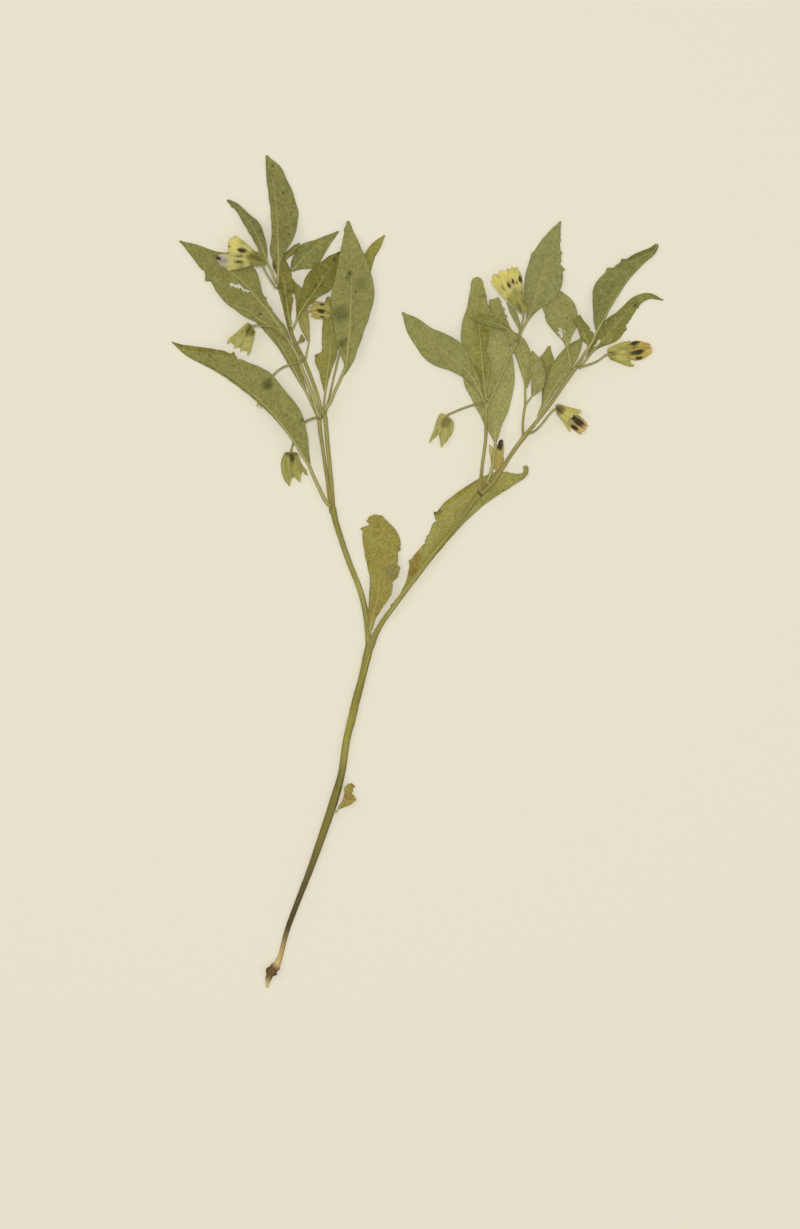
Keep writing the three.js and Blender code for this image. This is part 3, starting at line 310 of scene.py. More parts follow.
        right=[0.4, 2.4, 5.4, 7.7, 9.1, 9.1, 8.4, 7.1, 0],
    ),
    "leaf_wedge": dict(
        rib=[(62.3, 84.4), (64.1, 89.6), (65.2, 94.7), (66.1, 102.1), (66.7, 110.4)],
        stalk=5, color="888243",
        left=[0.4, 0.9, 1.6, 2.3, 3, 3.6, 3.8, 2, 0],
        right=[0.4, 0.6, 0.9, 1.1, 1.5, 2.1, 1.9, 0.9, 0],
    ),
    "leaf_stemside": dict(
        rib=[
            (60.8, 80.4), (62.7, 84.4), (65.2, 89.9), (68.9, 96.2), (72.6, 102.5), (76.3, 108.4),
            (78.9, 113.2),
        ],
        stalk=8, color="8c894b",
        left=[0.4, 2, 3.4, 4.2, 4.6, 4.7, 4.2, 2.8, 0],
        right=[0.4, 1, 1.2, 1.7, 1.9, 2, 1.8, 1.1, 0],
    ),
    "leaf_hooked": dict(
        rib=[
            (78.1, 102.5), (80, 105.1), (82.2, 108), (85.9, 112.1), (89.9, 116.9), (94, 121.6), (98, 126.1),
            (102.8, 128.3), (108.6, 127),
        ],
        stalk=3.2, color="7e7c3c",
        left=[0.4, 1, 1.7, 2.5, 3.3, 4.1, 3.8, 3, 2.6, 2.1, 2.1, 1.8, 1.4, 0.9, 0],
        right=[0.4, 0.5, 0.8, 1.9, 3.6, 4.4, 4.2, 3.2, 2.6, 2.4, 2, 1.3, 0.9, 0.5, 0],
        teeth=[
            (0.47, "right", 0.7, 1.8), (0.5, "right", -0.5, 1.2), (0.57, "right", 0.3, 1),
            (0.71, "right", 0.6, 1.2), (0.33, "left", 0.3, 1.2),
        ],
        marks=[(98.1, 125.2, 1, 0.8), (95.8, 121.6, 0.5, 0.5)],
        slits=[[(83.3, 109.9), (84.3, 110.9), (84.8, 112.1)]],
    ),
    "leaf_crossing": dict(
        rib=[
            (57.6, 89.2), (57.6, 90.6), (57.5, 93.3), (57.5, 95.8), (56, 102.8), (54.2, 108.7), (51.6, 115),
            (49, 119.8), (47, 124), (45.9, 127.6),
        ],
        stalk=5, color="949052", tip=0,
        left=[0.4, 0.5, 0.8, 1, 1.4, 1.6, 2.6, 2.8, 1.7],
        right=[0.4, 2.9, 4.6, 4.8, 4.1, 1.5, 1.7, 2.3, 2],
        teeth=[
            (0.78, "right", 0.8, 1.4), (0.86, "right", 0.7, 1.4), (0.92, "left", 0.6, 1.2),
            (0.96, "right", 0.6, 1.2),
        ],
    ),
    "leaf_leaflet": dict(
        rib=[(58.4, 89.4), (60.1, 91.8), (61.2, 94.7), (61.9, 98.4), (61.9, 103.6), (60.2, 108.4)],
        stalk=2.8, color="928e55",
        left=[0.4, 1.2, 1.8, 2.1, 2.4, 2.6, 2.4, 1.7, 0],
        right=[0.4, 1.8, 2.9, 3, 3, 2.3, 1.8, 0.9, 0],
    ),
    "leaf_tall": dict(
        rib=[
            (43.1, 90.6), (42.8, 93.3), (42, 99.5), (41.3, 108.7), (40.5, 118), (40.2, 127.2), (39.8, 135.7),
        ],
        stalk=1.5, color="8e8b49", tip=2.8,
        left=[0.4, 2.5, 4.4, 6.1, 7, 6, 4.1, 2.9, 1.8],
        right=[0.4, 2.2, 3.1, 2.1, 3.7, 6.2, 3.7, 2.7, 1.6],
        # The darker tones are painted shade where other leaves lie under this blade.
        tones=[
            (39.4, 130.6, 8.0, "948f4e"), (41.2, 119.4, 3.2, "7f7b37"), (42.0, 115.0, 3.4, "7e7a37"),
            (42.0, 110.0, 3.4, "7e7937"), (41.8, 105.0, 3.4, "84803f"), (41.0, 99.6, 3.2, "827d3a"),
        ],
        marks=[(43.4, 128.4, 1.1, 0.75), (41.9, 128.7, 0.8, 0.6)],
    ),
    "leaf_outer": dict(
        rib=[
            (42.2, 90), (41.7, 91), (39.8, 95.1), (37.2, 99.5), (33.5, 103.2), (29.5, 106.5), (24.7, 110.2),
            (19.5, 114.6), (15.5, 118.7), (12.2, 122.7),
        ],
        stalk=1.4, color="8c8a4f",
        left=[0.4, 1.3, 2.7, 4.1, 6, 6.1, 4.5, 2.8, 0],
        right=[0.4, 2, 2.7, 5.8, 6.2, 5.2, 3.8, 2.9, 0],
    ),
    "leaf_sliver": dict(
        rib=[(53.9, 112.5), (52.3, 113.5), (50.9, 116.1), (47.2, 118), (42.4, 119.4), (37.2, 120.2)],
        stalk=4.9, color="7e7d3c",
        left=[0.4, 1.5, 1.7, 1.2, 0],
        right=[0.4, 1.7, 2.1, 1.7, 0],
    ),
    "leaf_needle": dict(
        rib=[(54.9, 112.9), (55.5, 115.4), (54.6, 118), (52.7, 122), (50.6, 126.2)],
        stalk=3.4, color="8c8952",
        left=[0.4, 0.6, 0.6, 0],
        right=[0.4, 1.3, 1.4, 0],
    ),
    "leaf_holed": dict(
        rib=[
            (74.7, 102), (74, 103), (73.7, 105.1), (73, 109.5), (71.9, 114.3), (70.8, 119.1), (69.7, 123.5),
            (67.5, 127.5), (64.9, 130.5),
        ],
        stalk=7.7, color="928f54",
        left=[0.4, 1.2, 2.7, 4.3, 5.3, 5.3, 4.9, 3.6, 0],
        right=[0.4, 1.9, 4.2, 5.9, 6.5, 6.4, 5.5, 3.6, 0],
        slits=[[(70.2, 116.6), (70.7, 115.2), (70.9, 113.6)], [(69.9, 115.2), (70.7, 115.2), (71.8, 115.5)]],
    ),
    "leaf_curled": dict(
        rib=[(78.9, 106.2), (80, 107.6), (80.6, 110.6), (78.8, 115.4), (76.2, 120.9)],
        stalk=4.8, color="7e7a3d", tip=0,
        left=[0.4, 1.7, 1.5, 1.5, 1.4],
        right=[0.4, 3.2, 2.8, 1.9, 1.5],
        teeth=[(0.4, "right", -0.7, 1.4), (0.92, "left", 0.5, 1)],
    ),
    "leaf_crown": dict(
        rib=[
            (55.1, 112.9), (56.2, 115.6), (57.9, 118.7), (59.7, 123.1), (61.2, 128.3), (62.7, 133.1),
            (64.1, 138.2), (66, 143.8), (68.2, 150), (70.8, 156.3),
        ],
        stalk=7, color="8c8a51",
        left=[0.4, 2.1, 4.3, 5.5, 5.8, 5.6, 4.3, 2.5, 0],
        right=[0.4, 2.3, 6.6, 8.1, 7.7, 5.7, 3.5, 1.8, 0],
        teeth=[
            (0.3, "right", 0.6), (0.58, "right", 1.3, 2), (0.62, "right", -0.6, 1.6),
            (0.72, "right", 0.8, 1.6), (0.83, "right", 0.5, 1.2), (0.62, "left", 0.4),
        ],
    ),
    "leaf_upper": dict(
        rib=[
            (78.9, 106.6), (79.6, 107.6), (82, 111.3), (84.4, 116.2), (86.4, 119.9), (89, 124.8), (92.2, 130),
            (96.2, 135.7), (100.9, 140.9), (104.4, 144.6), (106.5, 147.8),
        ],
        stalk=10, color="7c7b42",
        left=[0.4, 3, 4.6, 6.3, 7.9, 9, 9, 8.3, 7.2, 6.1, 5, 4.3, 3.1, 1.7, 0.6],
        right=[0.4, 0.4, 0.5, 0.4, 0.4, 0.4, 0.4, 0.4, 0.4, 0.4, 0.5, 0.6, 0.9, 1.1, 0.5],
        teeth=[
            (0.545, "left", 1.1, 2.2), (0.58, "left", -0.5, 1.4), (0.672, "left", 1.2, 2.2),
            (0.3, "left", 0.3, 1.4),
        ],
        folds=[(0.66, 0.97, "left", 1.6)],
        marks=[(89.8, 128.2, 0.7, 0.5)],
    ),
    "leaf_fork": dict(
        rib=[
            (0.4, 4.4), (0.9, 8), (1.6, 11.4), (2.7, 15.4), (3.5, 19.5), (3.9, 24), (3.7, 28.5), (3.1, 33.5),
            (2.6, 38.5), (2.3, 43.5), (2, 48.1),
        ],
        stalk=1.2, color="958a41", tip=1.6,
        left=[1, 1.3, 2, 2.7, 3.2, 3.4, 3.6, 3.8, 4.3, 4.6, 4.7, 5, 4.6, 2.9, 1.2],
        right=[0.8, 1.1, 1.7, 2.7, 4, 4.8, 5.4, 7.4, 7.2, 7.9, 8.9, 8.8, 7.5, 4.9, 2],
        teeth=[
            (0.33, "right", 0.5, 1.4), (0.42, "right", -0.7, 1.2), (0.46, "right", 0.6, 1.2),
            (0.53, "right", 0.7, 1.6), (0.56, "right", -0.6, 1.4), (0.65, "right", -0.7, 1.2),
            (0.675, "right", 0.6, 1.2), (0.89, "left", 2, 2), (0.92, "left", -1.4, 1.6),
            (0.955, "left", 1.1, 1.2),
        ],
        tones=[(0.8, 12.0, 3.6, "93803c"), (8.6, 27.0, 3.4, "8b8048")],
        marks=[(6.8, 27.0, 0.7, 0.6), (4.2, 23.0, 0.6, 0.5), (7.2, 32.4, 0.6, 0.5)],
    ),
    "leaf_basal": dict(
        rib=[(-12.2, -61.6), (-10.7, -59.7), (-8.8, -57.5), (-7.4, -54.6), (-6.3, -50.9)],
        stalk=2, color="9d8a42",
        left=[0.5, 0.8, 1.2, 1.6, 2.2, 0.5],
        right=[0.5, 1.5, 2.7, 3.5, 1, 0.5],
        teeth=[(0.67, "right", -2, 2.2), (0.92, "right", 1.4, 1.6)],
        tones=[(-11.6, -61.2, 1.4, "5f5326"), (-5.6, -51.2, 1.1, "6a5c25"), (-8, -56, 1.5, "a37f49")],
    ),
}

FIVE_TEETH = [(-0.9, 1.0, 0.26), (-0.45, 1.04, 0.26), (0.0, 1.0, 0.26), (0.45, 1.03, 0.26), (0.9, 1.0, 0.26)]
PEDICEL_COLOR = "938c58"

# Calyces, with the same keys. valley: how far the mouth reaches between its teeth, as a share of the length.
# front, back: teeth of each wall, as place across (-1 to 1), reach and half-width. A wall that isn't told has
# FIVE_TEETH. holds: the corolla that stands in it.
CALYCES = {
    "calyx_hidden": dict(
        rib=[(41.6, 57.8), (44.2, 59.6), (46.3, 61.6), (47.2, 64.8), (47.3, 69.2)],
        stalk=9.2, left=[1.4, 2.2, 2.4], right=[1.4, 2.2, 2.4],
        color="aa9554", valley=0.8, holds="corolla_hidden",
    ),
    "calyx_shaded": dict(
        rib=[
            (-15.9, 85.6), (-14.7, 91), (-12.9, 98.8), (-11.1, 106.6), (-9.4, 115), (-9.6, 120.4),
            (-12, 122.6), (-14.4, 122.9),
        ],
        stalk=35, left=[1.2, 1.9, 2.4], right=[1.2, 1.8, 2.2],
        color="84803d", valley=0.8, holds="corolla_shaded",
    ),
    "calyx_top": dict(
        rib=[(-34.3, 131.2), (-36.2, 134.2), (-38.4, 138), (-39.4, 140.4), (-42.6, 142.2)],
        stalk=9.4, left=[1.3, 2.3, 2.6], right=[1.3, 2.3, 2.6],
        color="827d3c", valley=0.78, holds="corolla_top",
        marks=[(-40.5, 141.7, 1.8, 0.8), (-41.6, 143.2, 1.2, 0.5)],
    ),
    "calyx_crown": dict(
        rib=[(54.9, 112.9), (55.5, 115.4), (56.5, 119), (56.8, 122), (54.9, 126), (53.4, 129.2)],
        stalk=9.3, left=[1.3, 2.4, 3], right=[1.3, 2.4, 2.8],
        color="969049", valley=0.72, holds="corolla_crown",
        marks=[(55.3, 124.0, 2.0, 0.6), (56.6, 126.2, 1.6, 0.5)],
    ),
    "calyx_outer": dict(
        rib=[
            (77.6, 102), (79.6, 102.8), (82.2, 103.6), (85.1, 105.1), (87.6, 106.9), (92.5, 107.5),
            (97.2, 107.5),
        ],
        stalk=11.6, left=[1.9, 3, 3.9, 4.4], right=[1.9, 3, 4.2, 4.9],
        color="a9a055", valley=0.7, holds="corolla_outer",
        front=[(-0.9, 0.9, 0.5), (0.1, 0.82, 0.5), (0.95, 1.04, 0.6), (0.62, 0.92, 0.2)],
        marks=[(88.9, 107.1, 2.2, 0.7), (89.6, 105.4, 1.4, 0.5), (93.4, 109.2, 1.6, 0.4)],
    ),
    "calyx_low": dict(
        rib=[
            (59.3, 77.9), (61.2, 78.9), (63.4, 81.1), (66, 84.4), (67.6, 86.2), (69.2, 86.9), (72.6, 84.8),
            (76.4, 82.2),
        ],
        stalk=13.2, left=[1.6, 2.4, 3.3, 4.1], right=[1.6, 2.1, 3, 4.2],
        color="b3aa5f", valley=0.7, holds="corolla_low",
        front=[(-1.0, 0.84, 0.26), (-0.6, 0.95, 0.26), (-0.1, 0.78, 0.3), (1.0, 1.03, 0.5)],
        marks=[(69.8, 86.6, 1.9, 0.75), (71.0, 86.9, 1.4, 0.5)], tones=[(70.0, 86.6, 2.4, "8b7440")],
    ),
    "calyx_left": dict(
        rib=[
            (-25.7, 107.7), (-28.9, 111.7), (-33.9, 116.5), (-39.4, 117.4), (-42.2, 117.4), (-43.8, 116.2),
            (-45.9, 112.7), (-48.4, 108.4),
        ],
        stalk=21.2, left=[2.1, 2.9, 3.5, 4.3], right=[2.1, 2.8, 3.7, 4.7],
        color="a69f5b", valley=0.76,
        front=[(-1.0, 0.98, 0.3), (-0.28, 1.0, 0.26), (0.26, 1.01, 0.28), (0.98, 0.97, 0.36)],
        back=[(-0.6, 0.9, 0.3), (0.0, 0.9, 0.3), (0.6, 0.9, 0.3)],
        marks=[(-43.9, 115.6, 2.4, 0.7), (-42.6, 115.0, 1.5, 0.6), (-46.5, 115.3, 0.8, 0.6)],
        tones=[(-43.2, 116.2, 2.6, "85803f")],
    ),
    "calyx_nodding": dict(
        rib=[
            (-19.8, 83.6), (-23.2, 82.2), (-26, 78.8), (-27.6, 75), (-28.6, 71.6), (-28.5, 68.2), (-28, 64),
            (-26.9, 59.4),
        ],
        stalk=16.3, left=[2.5, 2.9, 3.6, 4.8], right=[2.3, 3.7, 4.1, 3.5],
        color="989250", valley=0.63,
        front=[(-1.0, 0.84, 0.34), (-0.3, 1.0, 0.42), (0.72, 1.03, 0.64)], back=[(0.2, 0.82, 0.5)],
        marks=[(-28.3, 68.8, 2.0, 0.8), (-30.2, 70.4, 1.2, 0.6), (-27.0, 70.6, 1.2, 0.5)],
        tones=[(-28.6, 71.4, 2.6, "77733a")],
    ),
    "calyx_middle": dict(
        rib=[
            (41.5, 88.9), (38.3, 88.3), (34.3, 87), (30.6, 85.5), (29.1, 84.8), (28.3, 83.6), (27.5, 80.2),
            (26.5, 76.5), (25.5, 72.8),
        ],
        stalk=13.6, left=[2.6, 3.4, 3.6, 3.3], right=[2.5, 3.1, 3.2, 3.6],
        color="a19b59", valley=0.6,
        front=[(0.98, 0.93, 0.6), (-0.33, 1.0, 0.58)], back=[(0.9, 0.84, 0.6), (-0.3, 0.9, 0.5)],
        marks=[(28.4, 82.9, 2.2, 0.4), (29.8, 83.4, 1.4, 0.4)],
        tones=[(28.1, 81.8, 2.3, "857a42")],
    ),
    "calyx_veiled": dict(
        rib=[
            (-24.9, 104.5), (-26.4, 103.9), (-29.1, 103), (-31.7, 102.1), (-35, 99.5), (-37.4, 95.5),
            (-38.2, 91.2), (-38.8, 87),
        ],
        stalk=14.4, left=[1.4, 2.2, 2.6, 2.7], right=[1.4, 2.2, 2.5, 2.7],
        color="ada365", valley=0.8,
    ),
}

# Corollas, with the same keys. rim: how far the mouth reaches at even steps across, as shares of the length.
COROLLAS = {
    "corolla_hidden": dict(
        rib=[(47.1, 65.2), (47.2, 69.3), (47.4, 75.6)], color="b8aa62",
        left=[1.2, 2, 2.8, 3], right=[1.2, 2, 2.4, 2.1],
        rim=[0.82, 0.78, 0.66, 0.62, 0.8, 0.96, 1, 1.02, 0.98],
        marks=[(48.3, 74.0, 1.9, 1.6)], tones=[(47.4, 66.4, 2.4, "8a6f38"), (47.6, 70.0, 3.0, "b3a35e")],
    ),
    "corolla_shaded": dict(
        rib=[(-11.8, 121.8), (-16.6, 123.1), (-22.2, 123.6)], color="a99b55",
        left=[0.9, 2.2, 3.0, 3.3], right=[0.9, 2.0, 2.9, 3.1],
        rim=[0.75, 0.9, 0.86, 1, 0.92, 1, 0.86, 0.92, 0.8],
        marks=[
            (-17.5, 122.9, 1.6, 1.2), (-17.3, 125.3, 1.0, 0.8), (-17.1, 120.8, 1.0, 0.8),
            (-15.4, 122.4, 1.2, 0.6),
        ],
    ),
    "corolla_top": dict(
        rib=[(-39.2, 141.4), (-45.7, 142.6), (-52.8, 144.3)], color="baaf67",
        left=[1.2, 2.8, 4.4, 5.9], right=[1.2, 3.1, 5.2, 6.7],
        rim=[0.84, 1.1, 1.2, 1.17, 0.97, 0.95, 0.98, 0.97, 0.88],
        marks=[
            (-46.5, 144.9, 1.6, 1.2), (-47.7, 140.6, 1.8, 0.8), (-51.5, 146.5, 0.7, 1.3),
            (-51.8, 144.0, 0.9, 0.7), (-55.7, 142.4, 1.2, 1.2), (-47.6, 143.0, 1.5, 0.55),
            (-46.4, 147.8, 1.4, 0.5), (-46.6, 138.8, 1.0, 0.5), (-43.2, 142.6, 2.4, 0.5),
        ],
        tones=[(-55.6, 140.8, 4.2, "a2978a"), (-50.0, 148.0, 3.2, "c8bd6a"), (-41.6, 142.0, 3.6, "8d8640")],
    ),
    "corolla_crown": dict(
        rib=[(55.4, 123.6), (53, 130.7), (51.2, 138.2)], color="c2b66c",
        left=[1.2, 2.7, 4.4, 5.8, 6.9], right=[1.2, 2.4, 3.5, 4, 4.2],
        rim=[0.82, 0.97, 0.94, 1.03, 0.97, 1.03, 0.99, 1.06, 0.98, 1.02, 0.86],
        marks=[
            (52.9, 133.6, 1.3, 1.0), (51.4, 132.4, 1.3, 0.8), (55.8, 134.4, 1.2, 1.2),
            (54.4, 133.4, 1.0, 0.6), (49.0, 131.2, 1.3, 0.5), (54.0, 130.4, 1.4, 0.4),
        ],
        tones=[(55.4, 126.0, 5.6, "9c9550"), (50.6, 137.2, 4.6, "cabd66"), (47.0, 134.2, 2.6, "cabd66")],
    ),
    "corolla_outer": dict(
        rib=[(94.4, 107.5), (99.3, 108.4), (104.2, 109.3)], color="aa994c",
        left=[1.2, 3.4, 3.7, 2.7], right=[1.2, 3.1, 3.4, 2.5],
        rim=[0.78, 0.92, 0.98, 0.94, 1.02, 0.96, 1, 0.92, 0.8],
        marks=[
            (97.9, 111.2, 1.5, 1.3), (99.2, 107.9, 1.9, 1.2), (99.4, 105.8, 1.1, 1.3),
            (97.2, 107.6, 1.3, 0.8), (101.6, 109.8, 1.6, 0.45), (98.0, 109.6, 1.4, 0.6),
        ],
        tones=[(102.6, 109.0, 3.6, "b69c52")],
    ),
    "corolla_low": dict(
        rib=[(71.9, 84.8), (76.2, 82), (79.9, 78.8)], color="ad9b64",
        left=[0.9, 2.3, 2.7, 2.3], right=[0.9, 2.3, 2.7, 2.3],
        rim=[0.86, 0.94, 0.9, 0.98, 0.92, 1, 0.9, 0.96, 0.92],
        marks=[(77.1, 82.3, 2.1, 1.6), (75.7, 80.2, 1.3, 1.5), (75.4, 83.6, 1.5, 1.4)],
        tones=[(79.6, 79.4, 3.0, "bd9c62")],
    ),
}

# Brown scars on the stem: place, radius and strength.
STEM_MARKS = [
    (-17.6, 83.8, 1.6, 0.6), (41.1, 55.4, 1.0, 0.95), (0.0, -0.5, 1.6, 0.35), (-13.4, 50.4, 1.4, 0.3),
]


# ---- Plan curves and lists of values ----
class Path:
    """A smooth plan curve through given points, read by the length along it."""

    FINE = 24  # steps between two given points
    NEAR = 0.02  # how far to both sides its heading is taken

    def __init__(self, knots):
        knots = np.array([knot[:2] for knot in knots], float)
        ends = [2 * knots[0] - knots[1], *knots, 2 * knots[-1] - knots[-2]]
        runs = [self.run(*ends[k : k + 4]) for k in range(len(knots) - 1)]
        self.points = np.vstack([*runs, knots[-1:]])
        steps = np.linalg.norm(np.diff(self.points, axis=0), axis=1)
        self.far = np.concatenate([[0], np.cumsum(steps)])
        self.length = self.far[-1]
        self.knot_far = self.far[:: self.FINE]

    def run(self, a, b, c, d):
        """Points of the centripetal curve from b towards c."""
        before, between, after = (np.linalg.norm(q - p) ** 0.5 for p, q in ((a, b), (b, c), (c, d)))
        start = ((b - a) / before - (c - a) / (before + between)) * between + (c - b)
        finish = ((d - c) / after - (d - b) / (between + after)) * between + (c - b)
        t = np.linspace(0, 1, self.FINE, endpoint=False)[:, None]
        bend = 2 * b - 2 * c + start + finish
        lean = 3 * c - 3 * b - 2 * start - finish
        return b + t * (start + t * (lean + t * bend))

    def heading(self, far):
        middle = np.clip(far, self.NEAR, self.length - self.NEAR)
        step = self.inside(middle + self.NEAR) - self.inside(middle - self.NEAR)
        return step / np.linalg.norm(step, axis=-1, keepdims=True)

    def inside(self, far):
        return np.stack([np.interp(far, self.far, self.points[:, k]) for k in (0, 1)], -1)

    def place(self, far, aside=0):
        """Points at lengths along the curve and aside to the right. Past its end it goes straight on."""
        far = np.asarray(far, float)
        ahead = self.heading(far)
        past = far - np.clip(far, 0, self.length)
        right = np.stack([ahead[..., 1], -ahead[..., 0]], -1)
        return self.inside(far) + ahead * past[..., None] + right * np.asarray(aside, float)[..., None]


def value_along(values, share):
    """A smooth value through a list of numbers at even steps, for shares from 0 to 1."""
    padded = np.array([2 * values[0] - values[1], *values, 2 * values[-1] - values[-2]], float)
    place = np.clip(share, 0, 1) * (len(values) - 1)
    k = np.minimum(place.astype(int), len(values) - 2)
    f = place - k
    a, b, c, d = (padded[k + step] for step in range(4))
    return b + f * (c - a + f * (2 * a - 5 * b + 4 * c - d + f * (3 * (b - c) + d - a))) / 2


def smooth_step(low, high, value):
    t = np.clip((value - low) / (high - low), 0, 1)
    return t * t * (3 - 2 * t)


def relax(heights, passes):
    """Rounds off the creases in a row or a grid of heights."""
    for _ in range(passes):
        for axis in range(heights.ndim):
            wide = np.concatenate([heights.take([0], axis), heights, heights.take([-1], axis)], axis)
            count = heights.shape[axis]
            before, after = (wide.take(range(k, k + count), axis) for k in (0, 2))
            heights = (before + 2 * heights + after) / 4
    return heights


def linear(code):
    """A colour written as six hexadecimal digits, as linear red, green, blue and alpha."""
    channels = [int(code[k : k + 2], 16) / 255 for k in (0, 2, 4)]
    return np.array([c / 12.92 if c <= 0.04045 else ((c + 0.055) / 1.055) ** 2.4 for c in channels] + [1.0])


class Ripple:
    """Seeded gentle unevenness over the plan, about -1 to 1."""

    WAVES = 7
    MIXED = (0.6, 1.5)  # cycles that a wave has on one wavelength, at least and at most
    FULL = 1.6  # brings the mean of its waves to about -1 to 1

    def __init__(self, seed, wavelength):
        draw = np.random.default_rng(seed)
        turn = draw.uniform(0, math.tau, self.WAVES)
        pull = math.tau / wavelength * draw.uniform(*self.MIXED, self.WAVES)
        self.pull = np.stack([np.cos(turn) * pull, np.sin(turn) * pull], -1)
        self.phase = draw.uniform(0, math.tau, self.WAVES)

    def __call__(self, plan):
        return np.sin(plan @ self.pull.T + self.phase).mean(-1) * self.FULL


class Bed:
    """Where CAD nodes lie, so that a fine piece keeps to the space of the solid it stands for."""

    OFF = 1  # how far from the floor a ray starts, in metres

    def __init__(self, node):
        mesh = frame["nodes"][node].data
        corners = [point.co for point in mesh.vertices]
        self.tree = BVHTree.FromPolygons(corners, [face.vertices[:] for face in mesh.polygons])

    def heights(self, plan):
        """Bottom and top of the solid at plan places, in mm, and nan beside it."""
        flat = np.asarray(plan, float).reshape(-1, 2)
        found = np.full((len(flat), 2), np.nan)
        for k, (x, y) in enumerate((flat + FORK[:2]) * MM):
            for side, (start, way) in enumerate(((-self.OFF, 1), (self.OFF, -1))):
                hit = self.tree.ray_cast(Vector((x, y, start)), Vector((0, 0, way)))[0]
                if hit is not None:
                    found[k, side] = hit.z / MM
        return found.reshape(*np.shape(plan)[:-1], 2)


JOIN_REACH = 5  # how near the stem a stalk's foot has to be to grow out of it


@functools.cache
def stem_middles():
    """Points along the middle of every strand of the stem, with their heights."""
    plan = np.vstack([Path(knots).points for knots in STRANDS.values()])
    height = Bed("stem").heights(plan).mean(-1)
    return np.column_stack([plan, height])[~np.isnan(height)]


def stem_root(foot):
    """Where a stalk with its foot beside the stem grows out of it, or None where no strand is near."""
    middles = stem_middles()
    away = np.hypot(*(middles[:, :2] - foot).T)
    return middles[away.argmin()] if away.min() < JOIN_REACH else None


def fill_outward(grid):
    """Fills the places of a grid that lie beside the solid from the nearest one towards the rib."""
    rows, across = grid.shape
    middle = across // 2
    if np.isnan(grid[0, middle]):
        grid[0, middle] = grid[~np.isnan(grid)][0]
    for i in range(rows):
        if np.isnan(grid[i, middle]):
            grid[i, middle] = grid[i - 1, middle]
        for j in (*range(middle + 1, across), *range(middle - 1, -1, -1)):
            if np.isnan(grid[i, j]):
                grid[i, j] = grid[i, j - 1 if j > middle else j + 1]
    return grid


def fill_row(heights):
    """Fills the places of a row that lie beside the solid from those on both sides."""
    known = ~np.isnan(heights)
    return np.interp(np.arange(len(heights)), np.flatnonzero(known), heights[known])


# ---- Meshes ----
class Form:
    """The points, faces, wires and point values of one piece. A wire later becomes a stalk or a vein."""

    # Values of a point, with how many numbers each has. thick: half-width of a wire in metres. mark: how dark
    # a stain is. pale: how far a paler line shows. tint: colour. blade: place on the piece, as lengths along,
    # aside and from the margin, or as the length along a cup and the turn round it.
    VALUES = {"thick": 1, "mark": 1, "pale": 1, "blade": 3, "tint": 4}

    def __init__(self):
        self.points, self.faces, self.wires = [], [], []
        self.values = {name: [] for name in self.VALUES}
        self.count = 0

    def add(self, points, faces=(), wires=(), **values):
        points = np.asarray(points, float).reshape(-1, 3)
        self.points.append(points)
        self.faces += [[k + self.count for k in face] for face in faces]
        self.wires += [[k + self.count for k in wire] for wire in wires]
        for name, width in self.VALUES.items():
            value = np.asarray(values.get(name, 0), float)
            rows = value.reshape(-1, width) if value.ndim else value
            self.values[name].append(np.broadcast_to(rows, (len(points), width)))
        self.count += len(points)

    def add_wire(self, points, thick, root=None, **values):
        """Adds a line of points. A root is put before them and takes the values of the first."""
        values = {"thick": np.asarray(thick, float) * MM, **values}
        if root is not None:
            points = np.vstack([root, points])
            values = {name: np.concatenate([value[:1], value]) for name, value in values.items()}
        links = [(k, k + 1) for k in range(len(points) - 1)]
        self.add(points, wires=links, **values)

    def mesh(self, name):
        mesh = bpy.data.meshes.new(name)
        mesh.from_pydata(((np.vstack(self.points) + FORK) * MM).tolist(), self.wires, self.faces)
        kinds = {1: ("FLOAT", "value"), 3: ("FLOAT_VECTOR", "vector"), 4: ("FLOAT_COLOR", "color")}
        for value, width in self.VALUES.items():
            kind, field = kinds[width]
            data = mesh.attributes.new(value, kind, "POINT").data
            data.foreach_set(field, np.vstack(self.values[value]).astype(np.float32).ravel())
        return mesh


def sheet_faces(rows, across, keep):
    """Faces of a closed sheet of top points and then as many bottom points. keep says which quads stay."""
    under = rows * across
    faces = []
    for i, j in np.argwhere(keep):
        a, b = i * across + j, i * across + j + 1
        c, d = b + across, a + across
        faces += [(a, b, c, d), (under + d, under + c, under + b, under + a)]
        beside = ((a, b, i - 1, j), (b, c, i, j + 1), (c, d, i + 1, j), (d, a, i, j - 1))
        for p, q, row, column in beside:
            inside = 0 <= row < rows - 1 and 0 <= column < across - 1
            if not (inside and keep[row, column]):
                faces.append((q, p, under + p, under + q))
    return faces


# ---- Node trees ----
def sum_of(operation):
    """A method that adds the node for one sum of a wire and another value."""
    return lambda wire, other: wire.net.math(operation, wire, other)


class Wire:
    """A node's output, which plain sums can use."""

    __add__ = __radd__ = sum_of("ADD")
    __mul__ = __rmul__ = sum_of("MULTIPLY")
    __sub__ = sum_of("SUBTRACT")
    __gt__ = sum_of("GREATER_THAN")
    __lt__ = sum_of("LESS_THAN")

    def __init__(self, net, socket):
        self.net, self.socket = net, socket

    def __rsub__(self, other):
        return self.net.math("SUBTRACT", other, self)

    def between(self, low, high):
        """0 below low, 1 above high, and a smooth step from one to the other."""
        ends = {"Value": self, "From Min": low, "From Max": high}
        return self.net.node("ShaderNodeMapRange", {"interpolation_type": "SMOOTHSTEP"}, ends)


